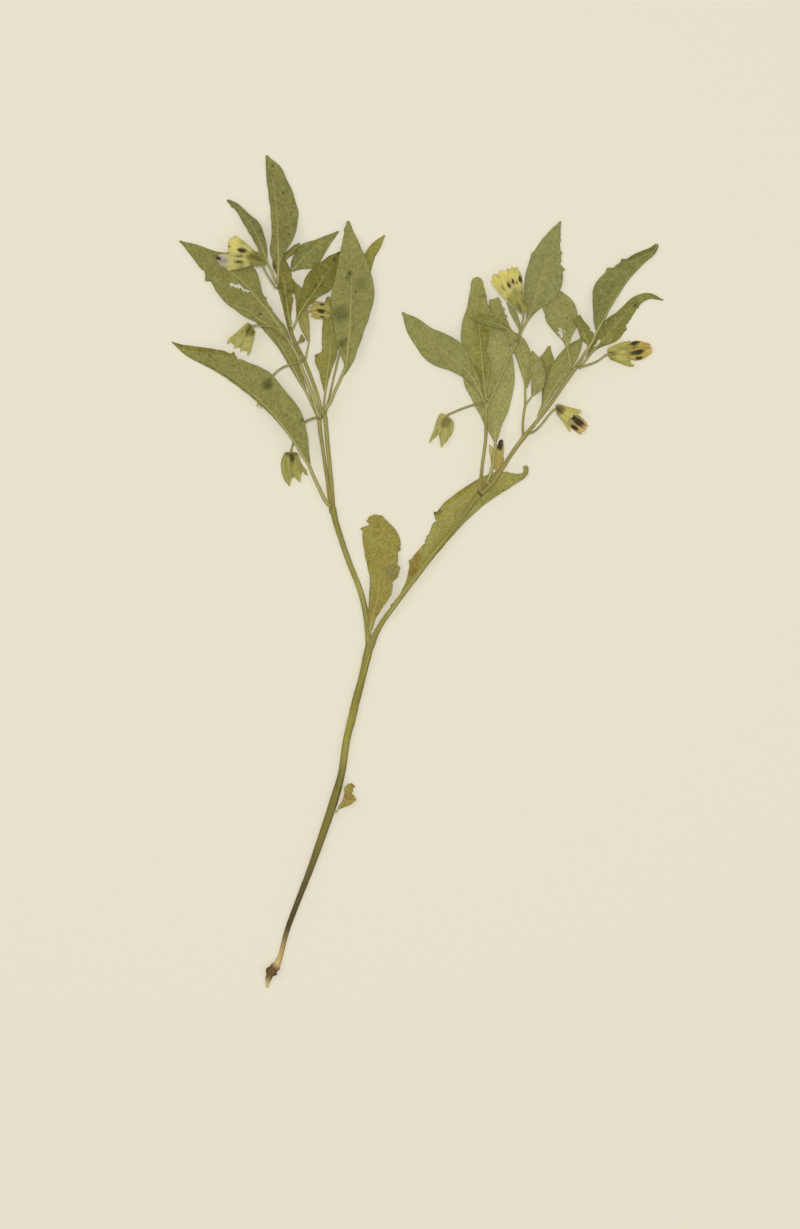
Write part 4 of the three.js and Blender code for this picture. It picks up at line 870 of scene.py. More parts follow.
class Net:
    """A node tree that is written one node at a time."""

    def __init__(self, tree):
        self.tree = tree

    def node(self, kind, settings=None, inputs=None, out=0):
        node = self.tree.nodes.new(kind)
        for name, value in (settings or {}).items():
            setattr(node, name, value)
        for key, value in (inputs or {}).items():
            socket = self.socket(node, key)
            if isinstance(value, Wire):
                self.tree.links.new(value.socket, socket)
            else:
                socket.default_value = value
        if isinstance(out, tuple):
            return [Wire(self, node.outputs[name]) for name in out]
        return Wire(self, node.outputs[out]) if node.outputs else None

    def socket(self, node, key):
        if isinstance(key, int):
            return node.inputs[key]
        named = [s for s in node.inputs if key in (s.identifier, s.name)]
        return next((s for s in named if s.identifier == key), named[0])

    def vector(self, x, y, z=0.0):
        return self.node("ShaderNodeCombineXYZ", None, {"X": x, "Y": y, "Z": z})

    def parts(self, vector):
        return self.node("ShaderNodeSeparateXYZ", None, {"Vector": vector}, ("X", "Y", "Z"))

    def math(self, operation, *values):
        return self.node("ShaderNodeMath", {"operation": operation}, dict(enumerate(values)))


class Shade(Net):
    """A material's node tree, with the patterns that the plant's finishes share."""

    DULL = 0.12  # the faint shine of what is dried
    WEB_SCALE = 0.62  # cells of the net of fine veins on a millimetre
    WEB_DRIFT = (0.5, 1.4)  # waves on a millimetre and reach of the noise that bends that net

    def __init__(self, name):
        self.material = bpy.data.materials.new(name)
        self.material.use_nodes = True
        super().__init__(self.material.node_tree)
        self.tree.nodes.clear()
        self.mm = self.scaled(self.node("ShaderNodeTexCoord", out="Object"), 1 / MM)

    def value(self, name, out="Fac"):
        return self.node("ShaderNodeAttribute", {"attribute_name": name}, out=out)

    def noise(self, where, scale, detail=3.0, rough=0.55):
        sizes = {"Vector": where, "Scale": scale, "Detail": detail, "Roughness": rough}
        return self.node("ShaderNodeTexNoise", None, sizes)

    def cells(self, where, scale, feature="F1", out="Distance"):
        return self.node("ShaderNodeTexVoronoi", {"feature": feature}, {"Vector": where, "Scale": scale}, out)

    def specks(self, scale, reach, rare):
        """Small dots at random places. reach is their size in cells, rare the share of cells without one."""
        draw, _, _ = self.parts(self.cells(self.mm, scale, out="Color"))
        dots = 1.0 - self.cells(self.mm, scale).between(0.3 * reach, reach)
        return dots * draw.between(rare, rare + 0.05)

    def web(self):
        """A net of fine veins: 1 on its lines and 0 between them."""
        scale, reach = self.WEB_DRIFT
        drift = self.node("ShaderNodeTexNoise", None, {"Vector": self.mm, "Scale": scale}, out="Color")
        bent = {0: self.mm, 1: self.scaled(drift, reach)}
        bent = self.node("ShaderNodeVectorMath", {"operation": "ADD"}, bent)
        return 1.0 - self.cells(bent, self.WEB_SCALE, "DISTANCE_TO_EDGE").between(0.02, 0.16)

    def scaled(self, color, amount):
        color = color if isinstance(color, Wire) else tuple(color)[:3]
        return self.node("ShaderNodeVectorMath", {"operation": "SCALE"}, {"Vector": color, "Scale": amount})

    def mix(self, factor, first, second):
        inputs = {"Factor_Float": factor, "A_Color": first, "B_Color": second}
        return self.node("ShaderNodeMix", {"data_type": "RGBA"}, inputs, out=2)

    def stained(self, factor, color, code):
        return self.mix(factor, color, tuple(linear(code)))

    def finish(self, color, rough, height, relief, gloss=DULL):
        """Ends the tree in one surface. relief is the depth of the bump in metres."""
        normal = self.node("ShaderNodeBump", None, {"Height": height, "Distance": relief, "Strength": 1.0})
        inputs = {"Base Color": color, "Roughness": rough, "Normal": normal, "Specular IOR Level": gloss}
        surface = self.node("ShaderNodeBsdfPrincipled", None, inputs)
        self.node("ShaderNodeOutputMaterial", None, {"Surface": surface})
        return self.material


class Grow(Net):
    """A geometry tree with named inputs, for use in one modifier."""

    KINDS = {"int": "NodeSocketInt", "float": "NodeSocketFloat", "material": "NodeSocketMaterial"}

    def __init__(self, name, **inputs):
        super().__init__(bpy.data.node_groups.new(name, "GeometryNodeTree"))
        face = self.tree.interface
        face.new_socket("Geometry", in_out="INPUT", socket_type="NodeSocketGeometry")
        face.new_socket("Geometry", in_out="OUTPUT", socket_type="NodeSocketGeometry")
        self.keys = {}
        for label, kind in inputs.items():
            made = face.new_socket(label, in_out="INPUT", socket_type=self.KINDS[kind])
            self.keys[label] = made.identifier
        start = self.tree.nodes.new("NodeGroupInput")
        self.given = {socket.name: Wire(self, socket) for socket in start.outputs if socket.name}

    def named(self, name):
        return self.node("GeometryNodeInputNamedAttribute", {"data_type": "FLOAT"}, {"Name": name})

    def join(self, *parts):
        node = self.tree.nodes.new("GeometryNodeJoinGeometry")
        for part in parts:
            self.tree.links.new(part.socket, node.inputs[0])
        return Wire(self, node.outputs[0])

    def end(self, geometry, material, picked):
        """Turns instances real, gives the picked faces the material and closes the tree."""
        real = self.node("GeometryNodeRealizeInstances", None, {"Geometry": geometry})
        dressed = {"Geometry": real, "Selection": picked, "Material": material}
        self.node("NodeGroupOutput", None, {"Geometry": self.node("GeometryNodeSetMaterial", None, dressed)})
        return self


def stalk_tree():
    """Turns the wires of a form into stalks with the value thick as half-width, and keeps its faces."""
    kinds = {"Sides": "int", "Flatness": "float", "Ribs": "int", "Rib Depth": "float"}
    net = Grow("Stalks along wires", **kinds, Material="material")
    given = net.given
    is_wire = net.named("thick") > 0
    path = net.node("GeometryNodeMeshToCurve", None, {"Mesh": given["Geometry"], "Selection": is_wire})
    path = net.node("GeometryNodeSetCurveNormal", {"mode": "Z_UP"}, {"Curve": path})
    ring = net.node("GeometryNodeCurvePrimitiveCircle", None, {"Resolution": given["Sides"], "Radius": 1.0})
    x, y, _ = net.parts(net.node("GeometryNodeInputPosition"))
    turn = net.math("ARCTAN2", y, x)
    swell = net.math("COSINE", turn * given["Ribs"]) * given["Rib Depth"] + 1.0
    flat = net.vector(x * swell, y * swell * given["Flatness"])
    told = {"Geometry": ring, "Name": "across", "Value": x}
    ring = net.node("GeometryNodeStoreNamedAttribute", {"data_type": "FLOAT", "domain": "POINT"}, told)
    ring = net.node("GeometryNodeSetPosition", None, {"Geometry": ring, "Position": flat})
    sizes = {"Curve": path, "Profile Curve": ring, "Scale": net.named("thick"), "Fill Caps": True}
    stalks = net.node("GeometryNodeCurveToMesh", None, sizes)
    stalks = net.node("GeometryNodeSetShadeSmooth", None, {"Geometry": stalks})
    gone = {"Geometry": given["Geometry"], "Selection": is_wire}
    blades = net.node("GeometryNodeDeleteGeometry", {"domain": "POINT"}, gone)
    return net.end(net.join(blades, stalks), given["Material"], is_wire)


HAIR_TELL = 0.000001  # the value thick is 0 on a hair and more on what it stands on
HAIR_LEAN = 0.7  # how far a hair leans at most
UPWARD = 0.5  # how far upward a surface has to face to bear hairs


def hair_tree():
    """Sets short tapered hairs over the upper side of the stalks, leaning every way."""
    kinds = {"Per Square Metre": "float", "Length": "float", "Root Width": "float", "Seed": "int"}
    net = Grow("Hairs on a surface", **kinds, Material="material")
    given = net.given
    _, _, up = net.parts(net.node("GeometryNodeInputNormal"))
    spread = {"Mesh": given["Geometry"], "Selection": up > UPWARD}
    spread |= {"Density": given["Per Square Metre"], "Seed": given["Seed"]}
    points, upright = net.node("GeometryNodeDistributePointsOnFaces", None, spread, ("Points", "Rotation"))
    sizes = {"Vertices": 3, "Radius Top": 0.0, "Radius Bottom": given["Root Width"], "Depth": given["Length"]}
    hair = net.node("GeometryNodeMeshCone", None, sizes)
    turns = {"Min": (-HAIR_LEAN, -HAIR_LEAN, 0.0), "Max": (HAIR_LEAN, HAIR_LEAN, 6.28), "Seed": given["Seed"]}
    lean = net.node("FunctionNodeRandomValue", {"data_type": "FLOAT_VECTOR"}, turns)
    turned = {"Rotation": upright, "Rotate By": lean}
    lean = net.node("FunctionNodeRotateRotation", {"rotation_space": "LOCAL"}, turned)
    placed = {"Points": points, "Instance": hair, "Rotation": lean}
    hairs = net.node("GeometryNodeInstanceOnPoints", None, placed)
    return net.end(net.join(given["Geometry"], hairs), given["Material"], net.named("thick") < HAIR_TELL)


def grow(piece, net, **inputs):
    """Adds a tree to a piece as a modifier and sets its inputs by their identifiers."""
    modifier = piece.modifiers.new(net.tree.name, "NODES")
    modifier.node_group = net.tree
    for label, value in inputs.items():
        modifier[net.keys[label.replace("_", " ")]] = value


def settle(piece, slot, *nodes):
    """Bakes a piece's modifiers into a plain mesh under the same name, and hands it to the frame."""
    name = piece.name
    bpy.context.view_layer.update()
    graph = bpy.context.evaluated_depsgraph_get()
    mesh = bpy.data.meshes.new_from_object(piece.evaluated_get(graph), depsgraph=graph)
    bpy.data.objects.remove(piece)
    mesh.name = name
    final = bpy.data.objects.new(name, mesh)
    bpy.context.scene.collection.objects.link(final)
    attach(final, BODY)
    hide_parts(*nodes)


SHARP = math.radians(50)  # angle from which an edge stays sharp


def rough_piece(form, name, materials):
    """A piece before its modifiers, shaded smooth between its sharp edges."""
    mesh = form.mesh(name)
    for material in materials:
        mesh.materials.append(material)
    mesh.shade_smooth()
    mesh.set_sharp_from_angle(angle=SHARP)
    piece = bpy.data.objects.new(name, mesh)
    bpy.context.scene.collection.objects.link(piece)
    return piece


# ---- Finishes ----
# How many waves of a pattern lie on a millimetre.
CLOUDS = 0.16
MOTTLE = 0.5
GRAIN = {"leaf": 1.25, "stem": 1.1, "husk": 1.3}
# Depths of the finest relief, in metres.
LEAF_RELIEF = 0.00009
SKIN_RELIEF = 0.00012
FLOOR_RELIEF = 0.00002
HAIR_RELIEF = 0.00001
FLOOR_SHINE = 0.1
HAIR_SHINE = 0.3
# Colours of specks, stains and scars.
LEAF_SPECKS = ("33301c", "3d3a20")
LEAF_STAIN = "3a3d18"
STEM_FLECK = "4a4022"
STEM_SCAR = "3f2f1c"
HUSK_SPECK = "4a4222"
CALYX_STAIN = "45421d"
PETAL_STAIN = "2b2716"
HAIR_COLOR = "b3ad7c"


# In every finish the weights of the patterns bring the mean shade to about 1.
def leaf_finish(name, look, is_vein):
    """Dried blade: mottled olive, a net of fine veins, dark specks, stains at the marks and paler ribs."""
    net = Shade(name)
    clouds = net.noise(net.mm, CLOUDS)
    grain = net.noise(net.mm, GRAIN["leaf"], rough=0.6)
    mottle = net.noise(net.mm, MOTTLE, detail=5.0, rough=0.68)
    _, _, margin = net.parts(net.value("blade", "Vector"))
    web = net.web()
    # The second value darkens a thin band along the blade's margin: painted shade for the shadow line at a
    # leaf's edge.
    web_depth, rim_shade = (0.0, 0.0) if is_vein else (0.04, 0.2)
    shade = clouds * 0.36 + grain * 1.2 + mottle * 0.8 - 0.17 - web * web_depth
    shade = shade - (1.0 - margin.between(0.05, 0.5)) * rim_shade
    color = net.scaled(net.value("tint", "Color"), shade)
    color = net.mix(clouds.between(0.5, 0.75) * 0.35, color, net.scaled(look.autumn_color, shade))
    color = net.mix(mottle.between(0.5, 0.68) * 0.3, color, net.scaled(look.faded_color, shade))
    across = net.value("across")
    # Painted shade: a rib's colour darkens towards its rounded sides.
    rib = net.scaled(look.rib_color, (0.72 + grain * 0.5) * (1.06 - across * across * 0.4))
    color = net.mix(net.value("pale"), color, rib)
    color = net.stained(net.specks(0.3, 0.1, 0.5) * 0.9, color, LEAF_SPECKS[0])
    color = net.stained(net.specks(0.62, 0.15, 0.4) * 0.65, color, LEAF_SPECKS[1])
    ragged = net.value("mark") * (grain * 1.7 + mottle * 1.6 - 0.75)
    color = net.stained(ragged.between(0.12, 0.75) * 0.8, color, LEAF_STAIN)
    height = grain * 0.5 + web * 0.35 + mottle * 0.3
    return net.finish(color, 0.62 + grain * 0.25, height, LEAF_RELIEF)


def stem_finish():
    """Smooth dried stem in its points' colours: fine streaks along it, painted shade at its edges and brown
    flecks.
    """
    net = Shade("Stem skin")
    along, number, _ = net.parts(net.value("blade", "Vector"))
    across = net.value("across")
    streaks = net.noise(net.vector(along * 0.1, across * 2.4 + number * 9.0, 0.0), 1.0, detail=4.0)
    grain = net.noise(net.mm, GRAIN["stem"], detail=4.0)
    # Painted shade: the colour darkens towards the stem's rounded sides.
    edge = across * across
    shade = (streaks * 1.9 + grain * 0.5 - 0.12) * (1.06 - edge * edge * 0.3)
    color = net.scaled(net.value("tint", "Color"), shade)
    color = net.stained(grain.between(0.62, 0.74) * 0.4, color, STEM_FLECK)
    ragged = net.value("mark") * (0.3 + grain * 1.4)
    color = net.stained(ragged.between(0.3, 0.8) * 0.85, color, STEM_SCAR)
    return net.finish(color, 0.5 + grain * 0.2, streaks * 0.6 + grain * 0.4, SKIN_RELIEF)


def husk_finish(name, stain, nerves):
    """Papery calyx or petal: fine lines along it, clouded, with ragged dark stains at the marks."""
    net = Shade(name)
    along, around, _ = net.parts(net.value("blade", "Vector"))
    lines = net.noise(net.vector(around * nerves, along * 0.16, 0.0), 1.0)
    grain = net.noise(net.mm, GRAIN["husk"], detail=4.0)
    mottle = net.noise(net.mm, MOTTLE, detail=4.0, rough=0.65)
    tint = net.value("tint", "Color")
    color = net.scaled(tint, lines * 1.5 + grain * 0.5 + mottle * 0.6 - 0.28)
    color = net.mix(net.value("pale") * (0.3 + grain * 0.8), color, net.scaled(tint, 1.16))
    color = net.stained(net.specks(0.5, 0.1, 0.5) * 0.5, color, HUSK_SPECK)
    streaks = net.noise(net.vector(around * 3.4, along * 0.3, 0.0), 1.0, detail=4.0, rough=0.65)
    ragged = net.value("mark") * (streaks * 3.4 + grain * 1.2 - 1.35)
    color = net.stained(ragged.between(0.0, 0.95) * 0.94, color, stain)
    return net.finish(color, 0.66 + grain * 0.2, lines * 0.7 + grain * 0.3, SKIN_RELIEF)


def hair_finish():
    """Pale, slightly shiny hair."""
    net = Shade("Hair")
    color = tuple(linear(HAIR_COLOR))
    return net.finish(color, 0.6, net.noise(net.mm, 1.0), HAIR_RELIEF, HAIR_SHINE)


def floor_finish(look):
    """Pale paper-smooth floor."""
    net = Shade("Pale floor")
    fibre = net.noise(net.mm, 0.4, detail=5.0)
    color = net.scaled(look.floor_color, 0.985 + fibre * 0.03)
    return net.finish(color, 0.9, fibre, FLOOR_RELIEF, FLOOR_SHINE)


# ---- Marks and tones ----
# How far from its middle, in radii, a mark and a tone start to fade and are gone.
MARK_EDGE = (0.15, 1.3)
TONE_EDGE = (0.5, 1.2)


def near_marks(marks, plan, ahead=(0, 1), stretch=1):
    """How strongly the marks colour plan places. Each mark is drawn out by stretch in the direction ahead."""
    strength = np.zeros(plan.shape[:-1])
    for x, y, radius, force in marks:
        off = plan - (x, y)
        along = off[..., 0] * ahead[0] + off[..., 1] * ahead[1]
        aside = off[..., 0] * ahead[1] - off[..., 1] * ahead[0]
        away = np.hypot(along / stretch, aside * stretch)
        strength = np.maximum(strength, force * (1 - smooth_step(*MARK_EDGE, away / radius)))
    return strength


def tone_over(color, tones, plan):
    """A piece's colour at plan places, turned towards its tones."""
    tint = np.broadcast_to(linear(color), (*plan.shape[:-1], 4)).copy()
    for x, y, radius, code in tones:
        away = np.hypot(plan[..., 0] - x, plan[..., 1] - y)
        share = (1 - smooth_step(*TONE_EDGE, away / radius))[..., None]
        tint = tint * (1 - share) + linear(code) * share
    return tint


# ---- Leaves ----
ROW = 0.55  # length of one row of a leaf's grid
LEAST_ROWS = 12  # rows of the shortest leaf
ACROSS = 29  # points across a leaf
CREASE_PASSES = 8  # how far the solid's creases are rounded off on a fine blade
TOOTH_LENGTH = 2.4  # where a tooth's table doesn't say
TOOTH_RISE = 0.65  # share of its length over which a tooth rises
TOOTH_DROP = 0.35  # share of its length over which it drops again
TIP_RADIUS = 1.3  # how round a leaf's tip is where its table doesn't say
# Gentle waves of the margins and of the blade, each a wavelength and a size.
MARGIN_WAVE = (6.0, 0.12)
LONG_WAVE = (7.0, 0.09)
SHORT_WAVE = (2.6, 0.03)
WAVE_APART = 40.0  # keeps the waves of the two margins apart
SWELL_FULL = 5  # half-width from which a blade swells fully between its veins
THIN_RIM = 0.45  # share of the blade's thickness that is left at its margin
RIM_GROWTH = 1.2  # how fast the thickness grows again inwards, per mm
RIDGE_WIDE = 0.32  # half-width of the low ridge beside a side vein
RIDGE_FADE = 0.4  # power by which that ridge fades towards the margin: less is later
FOLD_SHADE = [0.8, 0.74, 0.44, 1]  # how a folded margin's colour differs
FOLD_LIFT = 0.7  # how far a fold rises, in thicknesses of the blade
FOLD_LEAST = 0.01  # how far past a point a fold has to reach to take it in
FOLD_END = 0.02  # share of the blade to both sides of a fold's end over which it runs out
SLIT = 0.5  # half-width of a slit torn in a blade
VEIN_GAP = 6.2  # distance between side veins on one side
VEIN_FOOT = 0.02  # where a side vein starts, as a share of the way to the margin
VEIN_REACH = 0.93  # where it ends
VEIN_SLANT = 1.05  # how far a side vein runs forward, in half-widths of the blade
VEIN_BEND = 1.25  # power by which a side vein bends forward: 1 is straight
VEIN_STEPS = 9
VEIN_LEAST = 4  # points that a side vein has at least
VEIN_STARTS = (0.9, 0.4)  # places of the first side vein on the left and on the right, in gaps
VEIN_LAST = 0.82  # share of the blade beyond which no side vein starts
VEIN_STOP = 0.97  # share of the blade beyond which none runs
VEIN_THICK = (0.12, 0.04)  # half-widths at its root and its end
VEIN_PALE = (0.26, 0.05)  # how pale it is there
VEIN_FULL = 4  # half-width of the blade from which its side veins are fully thick
VEINED = 1.6  # half-width of the narrowest blade that has side veins
VEINED_HERE = 1.3  # half-width of the blade at a side vein's root, at least
TRACED_THICK = (0.16, 0.3)  # half-widths of a traced vein at its outer end and its root
TRACED_STEP = 0.8
TRACED_PALE = 0.9
TRACED_LIFT = 0.7  # how far it stands out, in thicknesses of the blade
STALK_STEP = 1.2
STALK_GAP = 0.4  # the least distance from the bare stalk's last point to the blade
RIB_STEP = 1.0
RIB_END = 0.95  # share of the blade that the midrib reaches
RIB_GROWTH = 0.0105  # how much wider a rib is for each mm of the leaf's length
RIB_TAPER = [1.1, 0.92, 0.5, 0.12]  # factors of its width: foot, start of the blade, farther on and tip
RIB_THINNED = 0.3  # share of the blade where the third of those factors holds
RIB_SUNK = 0.35  # how far the midrib is sunk into the blade, in half-widths of its own
RIB_PALE = ([0, 0.5, 0.95], [1.0, 0.9, 0.4])  # how pale it is, by share of the blade
INNER = 2  # the distance from the margin that a vein's points tell the finish, out of the painted shade at the rim


def toothing(teeth, side, share, length):
    """Teeth and notches of one margin: each rises slowly, leans forward and drops steeply."""
    raised = np.zeros_like(share)
    for place, where, size, *spread in teeth:
        if where == side:
            reach = spread[0] if spread else TOOTH_LENGTH
            away = (share - place) * length
            slope = np.where(away < 0, 1 + away / (TOOTH_RISE * reach), 1 - away / (TOOTH_DROP * reach))
            raised += size * np.clip(slope, 0, 1)
    return raised


def round_tip(half, far, length, radius):
    """Rounds a margin off over the last stretch of a blade. A radius of 0 leaves a torn tip as it is."""
    if radius == 0:
        return half
    start = length - radius
    wide = np.interp(start, far, half)
    over = np.clip((far - start) / radius, 0, 1)
    return np.where(over > 0, wide * np.sqrt(1 - over**2), half)


def vein_line(spread, half):
    """How far forward of its root a side vein lies, at a share of the way to the margin."""
    return VEIN_SLANT * half * (spread / VEIN_REACH) ** VEIN_BEND


class Blade:
    """One fine leaf on a grid: rows from the stalk to the tip, columns from the left margin to the right."""

    def __init__(self, name, leaf, look):
        self.leaf, self.look = leaf, look
        self.bed = Bed(name)
        self.seed = sum(ord(letter) for letter in name)
        self.path = Path(leaf["rib"])
        self.stalk = leaf["stalk"]
        self.length = self.path.length - self.stalk
        self.share = np.linspace(0, 1, max(LEAST_ROWS, math.ceil(self.length / ROW)))
        self.far = self.stalk + self.share * self.length
        self.side = np.linspace(-1, 1, ACROSS)
        self.on_left = self.side[None, :] < 0
        self.waver = Ripple(self.seed, MARGIN_WAVE[0])
        self.spread = np.abs(self.side)[None, :]
        self.halves = [self.half_widths(number, side) for number, side in enumerate(("left", "right"))]
        self.half = np.where(self.on_left, self.halves[0][:, None], self.halves[1][:, None])
        self.aside = self.half * self.side[None, :]
        self.along = np.broadcast_to(self.far[:, None], self.aside.shape)
        self.plan = self.path.place(self.along, self.aside)
        self.margin = (1 - self.spread) * self.half
        self.middle, self.ridge = self.rise()
        thinned = np.clip(THIN_RIM + self.margin * RIM_GROWTH, 0, 1)
        self.half_thick = look.thickness / MM / 2 * thinned
        self.surface = self.middle + self.half_thick

    def half_widths(self, number, side):
        """Half-widths of one side of the blade, with its teeth, its slight waves and its rounded tip."""
        half = value_along(self.leaf[side], self.share)
        half = half + toothing(self.leaf.get("teeth", []), side, self.share, self.length)
        places = np.stack([self.far, np.full_like(self.far, WAVE_APART * number)], -1)
        uneven = MARGIN_WAVE[1] * self.waver(places) * np.clip(half, 0, 1)
        half = np.maximum(half + uneven, self.look.tip_width / MM / 2)
        return round_tip(half, self.far, self.path.length, self.leaf.get("tip", TIP_RADIUS))

    def rise(self):
        """Heights of the blade's middle, swelling between its side veins, and the ridges beside the veins."""
        stagger = np.where(self.on_left, 0.0, 0.5)
        phase = (self.far[:, None] - self.stalk - vein_line(self.spread, self.half)) / VEIN_GAP + stagger
        swell = -0.5 * np.cos(math.tau * phase) * np.clip(self.half / SWELL_FULL, 0, 1)
        off_vein = ((phase + 0.5) % 1 - 0.5) * VEIN_GAP
        ridge = np.exp(-((off_vein / RIDGE_WIDE) ** 2)) * (1 - self.spread) ** RIDGE_FADE
        uneven = 0
        for k, (wavelength, height) in enumerate((LONG_WAVE, SHORT_WAVE), 1):
            uneven = uneven + Ripple(self.seed + k, wavelength)(self.plan) * height
        bed = relax(fill_outward(self.bed.heights(self.plan).mean(-1)), CREASE_PASSES)
        return bed + self.look.swell / MM * swell * np.clip(self.margin, 0, 1) + uneven, ridge

    def folded(self):
        """1 where the margin is folded over, else 0."""
        fold = np.zeros_like(self.middle)
        for start, stop, side, wide in self.leaf.get("folds", []):
            starts = smooth_step(start - FOLD_END, start + FOLD_END, self.share)
            stops = smooth_step(stop - FOLD_END, stop + FOLD_END, self.share)
            taper = wide * np.sin(math.pi * np.clip((self.share - start) / (stop - start), 0, 1)) ** 0.5
            reach = (starts * (1 - stops) * taper)[:, None]
            on_side = self.on_left == (side == "left")
            fold = np.maximum(fold, on_side * reach > self.margin + FOLD_LEAST)
        return fold

    def whole(self):
        """Which quads of the grid stay, since no slit runs through them."""
        centre = (self.plan[:-1, :-1] + self.plan[1:, 1:]) / 2
        keep = np.ones(centre.shape[:2], bool)
        for slit in self.leaf.get("slits", []):
            for x, y in Path(slit).points:
                keep &= np.hypot(centre[..., 0] - x, centre[..., 1] - y) > SLIT
        return keep

    def form(self):
        """The blade, its midrib and its veins."""
        thickness = self.look.thickness / MM
        fold = self.folded()
        top = self.surface + self.look.vein_relief / MM * self.ridge + thickness * FOLD_LIFT * fold
        bottom = self.middle - self.half_thick
        tint = tone_over(self.leaf["color"], self.leaf.get("tones", []), self.plan)
        tint = np.where(fold[..., None] > 0, tint * np.array(FOLD_SHADE), tint)
        mark = near_marks(self.leaf.get("marks", []), self.plan)
        blade = np.stack([self.along, self.aside, self.margin], -1)
        values = {
            "tint": np.tile(tint.reshape(-1, 4), (2, 1)),
            "mark": np.tile(mark.ravel(), 2),
            "blade": np.tile(blade.reshape(-1, 3), (2, 1)),
        }
        points = np.concatenate([np.dstack([self.plan, z]).reshape(-1, 3) for z in (top, bottom)])
        form = Form()
        form.add(points, sheet_faces(*self.plan.shape[:2], self.whole()), **values)
        self.add_midrib(form)
        for half, sign, start in zip(self.halves, (-1, 1), VEIN_STARTS):
            root = VEIN_GAP * start
            while root < VEIN_LAST * self.length and half.max() > VEINED:
                self.add_side_vein(form, half, sign, root)
                root += VEIN_GAP
        for line in self.leaf.get("veins", []):
            self.add_traced_vein(form, Path(line))
        return form

    def add_vein(self, form, plan, z, thick, run, pale, root=None):
        """Adds one wire with the blade's colours. pale says how far it shows the ribs' colour."""
        tint = tone_over(self.leaf["color"], self.leaf.get("tones", []), plan)
        blade = np.column_stack([run, run * 0, run * 0 + INNER])
        form.add_wire(np.column_stack([plan, z]), thick, root, pale=pale, tint=tint, blade=blade)

    def add_midrib(self, form):
        """The stalk and the midrib as one wire, which lies on the upper side of the blade."""
        bare = np.arange(0, max(self.stalk - STALK_GAP, 0), STALK_STEP)
        on_blade = self.stalk + np.arange(0, RIB_END * self.length, RIB_STEP)
        run = np.concatenate([bare, on_blade])
        spine = self.path.place(run)
        centre = ACROSS // 2
        bare_z = np.nan_to_num(self.bed.heights(spine[: len(bare)]).mean(-1), nan=self.middle[0, centre])
        blade_z = np.interp(on_blade, self.far, self.surface[:, centre])
        z = relax(np.concatenate([bare_z, blade_z]), passes=4)
        z[len(bare) :] = np.maximum(z[len(bare) :], blade_z)
        wide = self.look.rib_width / MM + RIB_GROWTH * self.path.length
        places = [0, self.stalk + 0.01, self.stalk + RIB_THINNED * self.length, self.path.length]
        thick = wide / 2 * np.interp(run, places, RIB_TAPER)
        z = z - np.where(run < self.stalk, 0, RIB_SUNK * thick)
        pale = np.interp(np.clip((run - self.stalk) / self.length, 0, 1), *RIB_PALE)
        self.add_vein(form, spine, z, thick, run, pale, stem_root(spine[0]))

    def add_side_vein(self, form, halves, sign, root):
        """A short wire from the midrib towards one margin, where the blade is wide enough for it."""
        wide = np.interp(self.stalk + root, self.far, halves)
        spread = np.linspace(VEIN_FOOT, VEIN_REACH, VEIN_STEPS)
        run = self.stalk + root + vein_line(spread, wide)
        inside = run < self.stalk + VEIN_STOP * self.length
        spread, run = spread[inside], run[inside]
        if len(spread) < VEIN_LEAST or wide <= VEINED_HERE:
            return
        plan = self.path.place(run, sign * spread * np.interp(run, self.far, halves))
        row = np.interp(run, self.far, np.arange(len(self.far)))
        column = np.interp(sign * spread, self.side, np.arange(ACROSS))
        z = self.surface[np.rint(row).astype(int), np.rint(column).astype(int)]
        thick = np.linspace(*VEIN_THICK, len(spread)) * min(1.0, wide / VEIN_FULL)
        pale = np.linspace(*VEIN_PALE, len(spread))
        self.add_vein(form, plan, relax(z, passes=2), thick, run, pale)

    def add_traced_vein(self, form, traced):
        """A vein that shows through from the underside, along its own line."""
        run = np.arange(0, traced.length, TRACED_STEP)
        plan = traced.place(run)
        z = relax(fill_row(self.bed.heights(plan).mean(-1)), passes=3)
        z = z + self.look.thickness / MM * TRACED_LIFT
        thick = np.interp(run, [0, traced.length], TRACED_THICK)
        self.add_vein(form, plan, z, thick, run, np.full_like(run, TRACED_PALE))


# ---- Cups: calyces and corollas ----
CUP_AROUND = 72  # points round a pressed cup, half on its front wall and half on its back wall
CUP_ROW = 0.3  # length of one row of a cup's grid
CUP_FOOT = [0.004, 0.02, 0.045]  # the closer rows at its foot, as shares of its length
CUP_START = 0.08  # where its even rows start
CUP_LEAST_ROWS = 10
FOOT_ROUND = 0.06  # share of a cup's length over which its foot rounds off
CUP_DEPTH = ([0, 0.1, 0.5, 1], [0.3, 0.8, 1, 0.7])  # how deep it is, by share of its length
BULGE = 0.6  # how full its walls are: 1 gives an ellipse, and less a box
PLEAT_ASIDE = 0.04  # how far a pleat moves a wall's points sideways, as a share of the half-width
PLEAT_LEAST = 0.15  # share of the pleats' depth that is left at the foot
PLEAT_CREST = 3  # how narrow the pale line on a pleat is
TOOTH_POINT = 0.85  # how pointed a calyx tooth is: 1 is straight-sided, and less is fuller
CUP_FLOOR = 0.16  # the lowest height of a wall's outer face
HELD_GAP = 0.02  # how far the back wall may lie above the underside of the corolla in it
STRETCH = 1.45  # how far a stain on a cup is drawn out along it
CALYX_PLEATS = 0.1  # depth of the pleats as a share of the cup's depth
COROLLA_PLEATS = 0.35
BACK_SHORT = 0.96  # how far a corolla's back wall reaches at most, as a share of its front
PEDICEL_STEP = 0.8
PEDICEL_SUNK = 0.2  # how far a flower stalk runs into its cup
PEDICEL_SWELL = 1.5  # length over which it widens below the cup
PEDICEL_THICK = [0.36, 0.33, 0.5]  # half-widths at its foot, below the cup and in it


